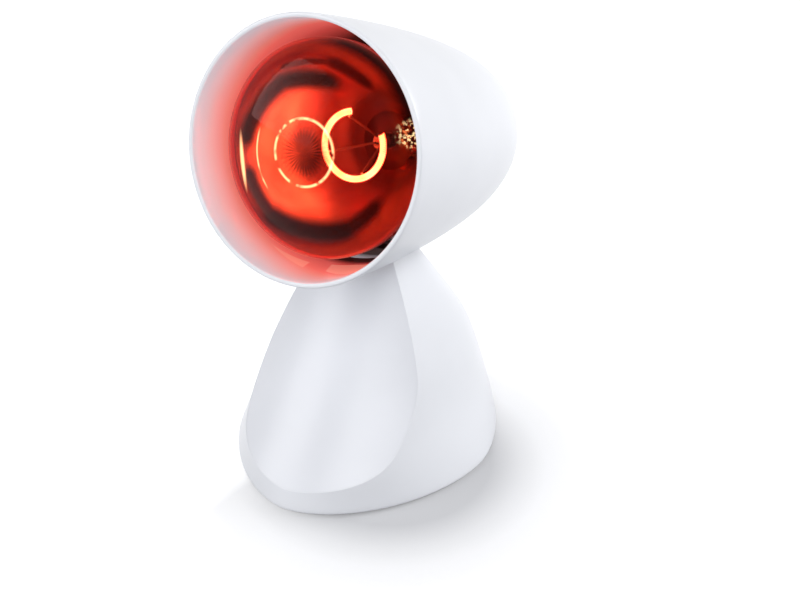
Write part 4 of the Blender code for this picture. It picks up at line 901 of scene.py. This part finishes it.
class HEATLAMP_OT_stage(bpy.types.Operator):
    """Set the camera, the soft lights, the white floor and the white surroundings"""
    bl_idname = "heatlamp.stage"
    bl_label = "Studio"

    def execute(self, context):
        studio = context.scene.heat_lamp_studio
        alone()
        bpy.ops.object.camera_add()
        camera = added("photo_camera")
        place = (0.280985, -0.472836, 0.400320)
        yaw, pitch, roll = 0.520162, 0.545292, 0.001667
        level = math.cos(pitch)
        forward = Vector((-math.sin(yaw) * level, math.cos(yaw) * level, -math.sin(pitch)))
        right = Vector((math.cos(yaw), math.sin(yaw), 0.0))
        up = right.cross(forward)
        columns = (right * math.cos(roll) + up * math.sin(roll), up * math.cos(roll) - right * math.sin(roll),
                   -forward)
        matrix = Matrix.Translation(place)
        for column, axis in enumerate(columns):
            for row in range(3):
                matrix[row][column] = axis[row]
        camera.matrix_world = matrix
        camera.data.lens = 58.32
        camera.data.sensor_width = 36.0
        camera.data.clip_start = 0.01
        context.scene.camera = camera
        aim, box_size, floor_radius = (0.0, 0.0, 0.12), 1.0, 3.0
        for name, stand, power in (("rear_softbox", (0.95, 0.95, 0.80), studio.rear),
                                   ("side_softbox", (-0.95, -0.95, 0.80), studio.side),
                                   ("front_softbox", (0.62, -0.98, 1.00), studio.front),
                                   ("low_softbox", (0.0, -1.40, 0.25), studio.low),
                                   ("shadow_softbox", (-0.70, 0.80, 1.20), studio.shadow)):
            self.light(name, stand, aim, box_size, power)
        bpy.ops.mesh.primitive_circle_add(vertices=96, radius=floor_radius, fill_type="NGON")
        floor = added("studio_floor")
        floor.data.materials.append(self.paper())
        self.surroundings(context, studio.ambient)
        context.scene.view_settings.view_transform = "Standard"
        return {"FINISHED"}

    def light(self, name, place, target, size, power):
        """A square soft box that looks at a target."""
        alone()
        bpy.ops.object.light_add(type="AREA", location=place)
        lamp = added(name)
        lamp.data.size = size
        lamp.data.energy = power
        lamp.rotation_euler = (Vector(target) - Vector(place)).to_track_quat("-Z", "Y").to_euler()

    def seen_white(self, tree):
        """1 for what the camera, a reflection or a clear body looks at, and else 0."""
        path = add(tree, "LightPath").node.outputs
        either = add(tree, "Math", {0: path["Is Camera Ray"], 1: path["Is Glossy Ray"]},
                     operation="MAXIMUM")
        return add(tree, "Math", {0: either, 1: path["Is Transmission Ray"]}, operation="MAXIMUM")

    def paper(self):
        """Matt white paper that keeps the lamp's soft shadow and fades into the white surroundings. Its lift
        to white stays low round the lamp's lower right, which paints part of that shadow.
        """
        material, tree, shader, where = new_finish("matt_white_paper", linear("#A8A9AD"), 0.9)
        shader.inputs["Specular IOR Level"].default_value = 0.0
        # Painted shadow: near a point to the lamp's lower right the lift to white stays low
        reach = add(tree, "VectorMath", {0: where, 1: (0.024, -0.034, 0.0)}, operation="DISTANCE")
        share = add(tree, "MapRange", {"Value": reach, "From Max": 0.25})
        lift_and_painted_shadow = add(tree, "ValToRGB", {"Fac": share}, [
            (place, (level, level, level)) for place, level in (
                (0.20, 0.22), (0.48, 1.0), (0.26, 0.44), (0.31, 0.58), (0.36, 0.63), (0.40, 0.77))])
        x = add(tree, "SeparateXYZ", {"Vector": where}).node.outputs["X"]
        left = add(tree, "MapRange", {"Value": x, "From Min": 0.0, "From Max": -0.048},
                   interpolation_type="SMOOTHSTEP")
        lift_and_painted_shadow = add(tree, "Math", {0: lift_and_painted_shadow, 1: left}, operation="MAXIMUM")
        relief(tree, shader, where, 6.0, 4.0, 0.1, 0.0001)
        strength = add(tree, "Math", {0: self.seen_white(tree), 1: lift_and_painted_shadow}, operation="MULTIPLY")
        shader.inputs["Emission Color"].default_value = (1.0, 1.0, 1.0, 1.0)
        tree.links.new(strength, shader.inputs["Emission Strength"])
        return material

    def surroundings(self, context, ambient):
        """Give the world a plain white that is seen, and a faint even light that falls on the lamp."""
        world = bpy.data.worlds.new("white_studio")
        context.scene.world = world
        world.use_nodes = True
        tree = world.node_tree
        background = tree.nodes["Background"]
        level = add(tree, "MapRange", {"Value": self.seen_white(tree), "To Min": ambient, "To Max": 1.0})
        tint = add(tree, "Mix", {"Factor": self.seen_white(tree), "A": (*linear("#EEF1FF"), 1.0),
                                 "B": (1.0, 1.0, 1.0, 1.0)}, data_type="RGBA")
        tree.links.new(tint, background.inputs["Color"])
        tree.links.new(level, background.inputs["Strength"])


class HEATLAMP_OT_hood(bpy.types.Operator):
    """Turn the hood, give it its wall and lip, and cut the neck's slot and the rear vents"""
    bl_idname = "heatlamp.hood"
    bl_label = "Hood"

    def execute(self, context):
        size = sizes()
        hood = lathe("hood_moulding", hood_line(), size.facets)
        hood.data.materials.append(None)
        hood.data.materials.append(None)
        modify(hood, "SOLIDIFY", thickness=size.hood_wall, offset=-1.0, use_even_offset=True,
               material_offset=1)
        bevel(hood, size.lip_rounding, 4, 60.0)
        pitch = 0.0060
        vents = [self.vent(index * pitch) for index in range(-2, 3)]
        combine(hood, joined("vents", vents))
        combine(hood, self.neck_slot())
        white = moulded_abs("satin_white_abs", colours().hood_white, 0.30)
        finish(hood, "head", "white_abs", [white, hood_wall_painted_glow()], ["hood"])
        return {"FINISHED"}

    def vent(self, x):
        """Cutter of one rear vent: a narrow slot with round ends."""
        field, half_width = 0.0190, 0.0012
        alone()
        bpy.ops.mesh.primitive_circle_add(vertices=32, radius=half_width, fill_type="NGON")
        item = added("vent")
        straight = math.sqrt(field ** 2 - x ** 2) - half_width
        for side in (-1, 1):
            pick(item, lambda place: place.y * side > 0.00001)
            bpy.ops.transform.translate(value=(0.0, side * straight, 0.0))
        bpy.ops.mesh.select_all(action="SELECT")
        bpy.ops.transform.translate(value=(x, 0.0, -0.1500))
        bpy.ops.mesh.extrude_region_move(TRANSFORM_OT_translate={"value": (0.0, 0.0, -0.0400)})
        tidy(item)
        return placed(item, mouth_frame)

    def neck_slot(self):
        """Cutter of the opening that the neck needs over the whole range of tilt."""
        corners = []
        for height in (0.0800, neck_top):
            reach = base_reach(height)
            z = height - pivot.z
            front = Vector((0.0, base_centre_y + face_line(height) - pivot.y, z))
            rear = Vector((0.0, base_centre_y + reach[2] + reach[3] - pivot.y, z))
            front.rotate(Matrix.Rotation(math.radians(-tilt_down_degrees), 3, "X"))
            rear.rotate(Matrix.Rotation(math.radians(tilt_up_degrees), 3, "X"))
            corners.append(pivot + front - Vector((0.0, 0.0012, 0.0)))
            corners.insert(0, pivot + rear + Vector((0.0, 0.0012, 0.0)))
        alone()
        bpy.ops.mesh.primitive_plane_add()
        item = added("neck_slot")
        for index, corner in zip((0, 1, 3, 2), corners):
            item.data.vertices[index].co = (-neck_slot_half_width, corner.y, corner.z)
        bpy.ops.object.mode_set(mode="EDIT")
        bpy.ops.mesh.select_all(action="SELECT")
        across = (2 * neck_slot_half_width, 0.0, 0.0)
        bpy.ops.mesh.extrude_region_move(TRANSFORM_OT_translate={"value": across})
        tidy(item)
        return item


class HEATLAMP_OT_base(bpy.types.Operator):
    """Mould the base and its front panel from one bell form, parted along the panel's crisp edge"""
    bl_idname = "heatlamp.base"
    bl_label = "Base and front panel"

    def execute(self, context):
        size = sizes()
        ahead = 0.060
        shell = base_skin("base_moulding", 0.0, rim_height, rim_rounding, neck_top, neck_rounding)
        cavity = base_skin("cavity", size.shell_wall, under_floor, 0.0, neck_top - size.shell_wall, 0.0)
        combine(shell, cavity)
        combine(shell, face_slab("front_cut", ahead, 0.0))
        rebate = base_skin("rebate", size.seam_lip, under_floor, 0.0, neck_top - size.seam_lip, neck_rounding)
        combine(rebate, face_slab("rebate_depth", ahead, cover_thickness + gap), "INTERSECT")
        combine(shell, rebate)
        combine(shell, self.cheeks(), "UNION")
        for cutter in self.cutters():
            combine(shell, cutter)
        # Painted shade darkens the shell's neck where it stands inside the hood
        white = moulded_abs("satin_white_neck_abs", colours().hood_white, 0.30, with_painted_shade=True)
        finish(shell, "base", "white_abs", [white], ["base_shell"], 20.0)
        inset = size.seam_lip + size.seam
        panel = base_skin("front_panel", inset, under_floor, 0.0, neck_top - inset, neck_rounding)
        combine(panel, face_slab("panel_slab", 0.0, cover_thickness), "INTERSECT")
        # Painted shade darkens the panel's top where it stands inside the hood
        white = moulded_abs("satin_white_panel_abs", colours().panel_white, 0.33, with_painted_shade=True)
        finish(panel, "base", "white_cover_abs", [white], ["front_cover"], 20.0)
        return {"FINISHED"}

    def cheeks(self):
        """Two rounded cheeks on top of the neck, for the pivot bolt."""
        across = Matrix.Translation(pivot) @ Matrix.Rotation(math.pi / 2, 4, "Y")
        inside, outside, radius, bolt_radius = 0.0080, 0.0145, 0.0070, 0.0028
        pair = []
        for low, high in ((-outside, -inside), (inside, outside)):
            cheek = cylinder("cheek", radius, low, high, across, 64)
            foot = neck_top - sizes().shell_wall / 2
            pick(cheek, lambda place: place.z < pivot.z - 0.0001)
            bpy.ops.transform.resize(value=(1.0, 1.0, 0.0), center_override=(0.0, pivot.y, foot))
            bpy.ops.object.mode_set(mode="OBJECT")
            combine(cheek, cylinder("bolt_hole", bolt_radius, -0.02, 0.02, across))
            pair.append(bevel(cheek, 0.0004, 2, 60.0))
        return joined("cheeks", pair)

    def cutters(self):
        """Cutters of the wire's passage and of both seats, and then of the holes in the seats."""
        switch = rear_wall_frame(switch_height, switch_seat_depth)
        grommet = rear_wall_frame(cord_height, cord_seat_depth)
        passage = block("passage", (-0.0080, pivot.y - 0.0046, neck_top - 0.0197),
                        (0.0080, pivot.y + 0.0046, neck_top + gap))
        seat = block("seat", (-0.0088, -0.0118, 0.0), (0.0088, 0.0118, 0.0200), switch)
        round_seat = cylinder("spot", 0.0078, 0.0, 0.0200, grommet, 64)
        hole = block("hole", (-0.0068, -0.0103, -0.0200), (0.0068, 0.0103, 0.0100), switch)
        bore = cylinder("bore", 0.0051, -0.0100, 0.0200, grommet, 64)
        return joined("outer_cuts", [passage, seat, round_seat]), joined("inner_cuts", [hole, bore])


class HEATLAMP_OT_fittings(bpy.types.Operator):
    """Round the corners of the plates, brackets, fasteners, switch and wiring blocks"""
    bl_idname = "heatlamp.fittings"
    bl_label = "Plates, brackets, switch and fasteners"

    def execute(self, context):
        ballast = metal("blackened_rolled_steel", linear("#5C5E62"), 0.5, (2.0, 0.5, 0.5), 0.7)
        key = moulded_abs("satin_white_key_abs", linear("#E4E5E9"), 0.28)
        black = blown_glass("black_glass", linear("#17171A"), 0.0, 0.12)
        clear = blown_glass("drawn_clear_glass", linear("#EEF4F2"), 1.0)
        table = [
            ("bottom_plate", "base", "grey_plastic", grey_abs(), 0.0003),
            ("ballast", "base", "ballast_steel", ballast, 0.0005),
            ("terminal_block", "base", "grey_plastic", grey_abs(), 0.0004),
            ("switch_housing", "base", "white_rocker", key, 0.0003),
            ("switch_tab_1", "base", "brass", brass(), 0.0001),
            ("switch_tab_2", "base", "brass", brass(), 0.0001),
            ("detent_wheel", "base", "grey_plastic", grey_abs(), 0.0002),
            ("rocker", "switch_rocker", "white_rocker", key, 0.0004),
            ("lamp_bracket", "head", "zinc_steel", zinc(), 0.0002),
            ("detent_spring", "head", "zinc_steel", zinc(), 0.0),
            ("detent_rivet", "head", "zinc_steel", zinc(), 0.0001),
            ("pivot_spacer", "head", "grey_plastic", grey_abs(), 0.0002),
            ("washer_left", "head", "zinc_steel", zinc(), 0.0001),
            ("washer_right", "head", "zinc_steel", zinc(), 0.0001),
            ("pivot_bolt", "head", "zinc_steel", zinc(), 0.0003),
            ("pivot_nut", "head", "zinc_steel", zinc(), 0.0003),
            ("socket_contact", "head", "brass", brass(), 0.0),
            ("cap_insulator", "head", "black_glass", black, 0.0),
            ("bulb_contact", "head", "aluminium", aluminium(), 0.0002),
            ("glass_stem", "head", "clear_glass", clear, 0.0),
            ("heat_disc", "head", "aluminium", metal("sooted_aluminium", linear("#5A3A34"), 0.5), 0.0001),
        ]
        pairs = (("ballast_screw", "base", 0.0002), ("bracket_screw", "head", 0.0002),
                 ("holder_screw", "head", 0.0002), ("lead_wire", "head", 0.0),
                 ("filament_support", "head", 0.0))
        table += [(f"{node}_{number}", body, "zinc_steel", zinc(), width)
                  for number in (1, 2) for node, body, width in pairs]
        table += [(f"plate_screw_{number}", "base", "zinc_steel", zinc(), 0.0002) for number in range(1, 5)]
        for node, body, slot, material, width in table:
            finish(copy_of(node, f"{node}_piece", width), body, slot, [material], [node])
        return {"FINISHED"}


class HEATLAMP_OT_rubber(bpy.types.Operator):
    """Mould the four feet and the cord grommet"""
    bl_idname = "heatlamp.rubber"
    bl_label = "Feet and grommet"

    def execute(self, context):
        line = [(0.0, -0.0019), (0.0057, -0.0019), (0.0060, -0.0016), (0.0060, -0.0004), (0.0058, -0.0001),
                (0.0054, 0.0), (0.0040, 0.0), (0.0036, -0.0003), (0.0, -0.0003)]
        number = 1
        for x in (-0.0300, 0.0300):
            for y in (-0.0500, 0.0500):
                matrix = base_frame @ Matrix.Translation((x, y, 0.0))
                foot = lathe(f"foot_pad_{number}", line, 48, matrix=matrix)
                finish(foot, "base", "black_rubber", [rubber()], [f"foot_{number}"])
                number += 1
        line = [(0.0032, 0.0036), (0.0044, 0.0040), (0.0048, 0.0040), (0.0062, 0.0024), (0.0048, 0.0024),
                (0.0048, -0.0003), (0.0075, -0.0003), (0.0075, -0.0012), (0.0072, -0.0018), (0.0066, -0.0021),
                (0.0042, -0.0021), (0.0034, -0.0019), (0.0032, -0.0015)]
        grommet = lathe("grommet_moulding", line, 64, True, rear_wall_frame(cord_height, cord_seat_depth))
        finish(grommet, "base", "black_rubber", [rubber()], ["cord_grommet"])
        return {"FINISHED"}


class HEATLAMP_OT_holder(bpy.types.Operator):
    """Turn the porcelain lampholder with its threaded brass shell"""
    bl_idname = "heatlamp.holder"
    bl_label = "Lampholder"

    def execute(self, context):
        start, length, floor = thread_depth, 0.0385, 0.1350
        back = start + length
        line = [(0.0, floor), (0.0160, floor), (0.0160, start + 0.0006), (0.0166, start), (0.0178, start),
                (0.0185, start + 0.0007), (0.0185, start + length * 0.2), (0.0188, start + length * 0.225),
                (0.0202, start + length * 0.325), (0.0205, start + length * 0.35), (0.0205, back - 0.0010),
                (0.0195, back), (0.0, back)]
        holder = lathe("lampholder_porcelain", line, 96)
        for x in (-0.0090, 0.0090):
            matrix = mouth_frame @ Matrix.Translation((x, 0.0, 0.0))
            combine(holder, cylinder("screw_hole", 0.0018, -back - gap, -floor + gap, matrix, 32))
        finish(holder, "head", "porcelain", [porcelain()], ["lampholder"])
        inner, outer = (self.thread(radius, thread_depth + 0.0030, 4) for radius in (0.0148, 0.0153))
        shell = lathe("socket_shell_brass", outer + inner[::-1], 64, True)
        finish(shell, "head", "brass", [brass()], ["socket_shell"])
        return {"FINISHED"}

    @staticmethod
    def thread(radius, start, turns, steps=8):
        """Radius and depth of a rolled thread, drawn as smooth rings."""
        line = []
        for index in range(turns * steps + 1):
            swing = -thread_height / 2 * math.cos(math.tau * index / steps)
            line.append((radius + swing, start + thread_pitch * index / steps))
        return line


class HEATLAMP_OT_bulb(bpy.types.Operator):
    """Blow the bulb's envelope, roll its cap and wind its filament"""
    bl_idname = "heatlamp.bulb"
    bl_label = "Bulb"

    def execute(self, context):
        outer, inner = glass_line(0.0), glass_line(0.0010)
        bulb = lathe("bulb_envelope", outer + inner[::-1], 128)
        coat = metal("silvered_glass_cone", linear("#B98C86"), 0.25, (4.0, 4.0, 4.0))
        for material in (ruby_dome(), coat, reflector()):
            bulb.data.materials.append(material)
        inverse = mouth_frame.inverted()
        for face in bulb.data.polygons:
            place = inverse @ face.center
            if -place.z > wide_depth + gap:
                outward = Vector((place.x, place.y, 0.0)).dot(inverse.to_3x3() @ face.normal) > 0
                face.material_index = 1 if outward else 2
        finish(bulb, "head", "ruby_glass", [], ["bulb_glass", "bulb_reflector"], 60.0)
        outer, inner = ([(0.0140 - inset, cap_depth), (0.0140 - inset, thread_depth - 0.0009),
                         *HEATLAMP_OT_holder.thread(0.0132 - inset, thread_depth, 5),
                         (0.0100 - inset, thread_depth + end)]
                        for inset, end in ((0.0, 0.0183), (0.0005, 0.0175)))
        cap = lathe("bulb_cap_aluminium", outer + inner[::-1], 64, True)
        finish(cap, "head", "aluminium", [aluminium()], ["bulb_cap"])
        finish(self.coil(), "head", "tungsten", [glowing_tungsten()], ["filament"], 60.0)
        return {"FINISHED"}

    def coil(self):
        """The filament: a fine wire wound on a ring that is open on its upper right."""
        size = sizes()
        alone()
        bpy.ops.curve.primitive_nurbs_path_add()
        bpy.ops.object.mode_set(mode="OBJECT")
        item = added("filament_coil")
        curve = item.data
        curve.splines.clear()
        spline = curve.splines.new("POLY")
        turns, each = size.coil_turns, 10
        first, turned = 104.0, 286.0
        spline.points.add(turns * each)
        for index in range(turns * each + 1):
            share = index / (turns * each)
            angle = math.radians(first + turned * share)
            wind = math.tau * turns * share
            radius = filament_radius + size.coil_radius * math.cos(wind)
            spline.points[index].co = (radius * math.cos(angle), radius * math.sin(angle),
                                       size.coil_radius * math.sin(wind) - filament_depth, 1.0)
        curve.bevel_depth = wire_radius
        curve.bevel_resolution = 1
        curve.use_fill_caps = True
        alone(item)
        bpy.ops.object.convert(target="MESH")
        item = bpy.context.object
        item.visible_diffuse = False
        return placed(item, mouth_frame)


class HEATLAMP_PT_panel(bpy.types.Panel):
    """Lists the lamp's pieces, with the sizes and colours that can change"""
    bl_idname = "HEATLAMP_PT_panel"
    bl_label = "Heat lamp"
    bl_space_type = "VIEW_3D"
    bl_region_type = "UI"
    bl_category = "Heat lamp"

    def draw(self, context):
        for operator in operators:
            self.layout.operator(operator.bl_idname)
        for group in (sizes(), colours(), context.scene.heat_lamp_studio):
            for name in group.__annotations__:
                self.layout.prop(group, name)


groups = {"heat_lamp_sizes": HeatLampSizes, "heat_lamp_colours": HeatLampColours,
          "heat_lamp_studio": HeatLampStudio}
operators = (HEATLAMP_OT_stage, HEATLAMP_OT_hood, HEATLAMP_OT_base, HEATLAMP_OT_fittings, HEATLAMP_OT_rubber,
             HEATLAMP_OT_holder, HEATLAMP_OT_bulb)


def register():
    for item in (*groups.values(), *operators, HEATLAMP_PT_panel):
        bpy.utils.register_class(item)
    for name, group in groups.items():
        setattr(bpy.types.Scene, name, PointerProperty(type=group))


def unregister():
    for name in groups:
        delattr(bpy.types.Scene, name)
    for item in reversed((*groups.values(), *operators, HEATLAMP_PT_panel)):
        bpy.utils.unregister_class(item)


def main():
    register()
    for operator in operators:
        group, name = operator.bl_idname.split(".")
        getattr(getattr(bpy.ops, group), name)()


if __name__ == "__main__":
    main()
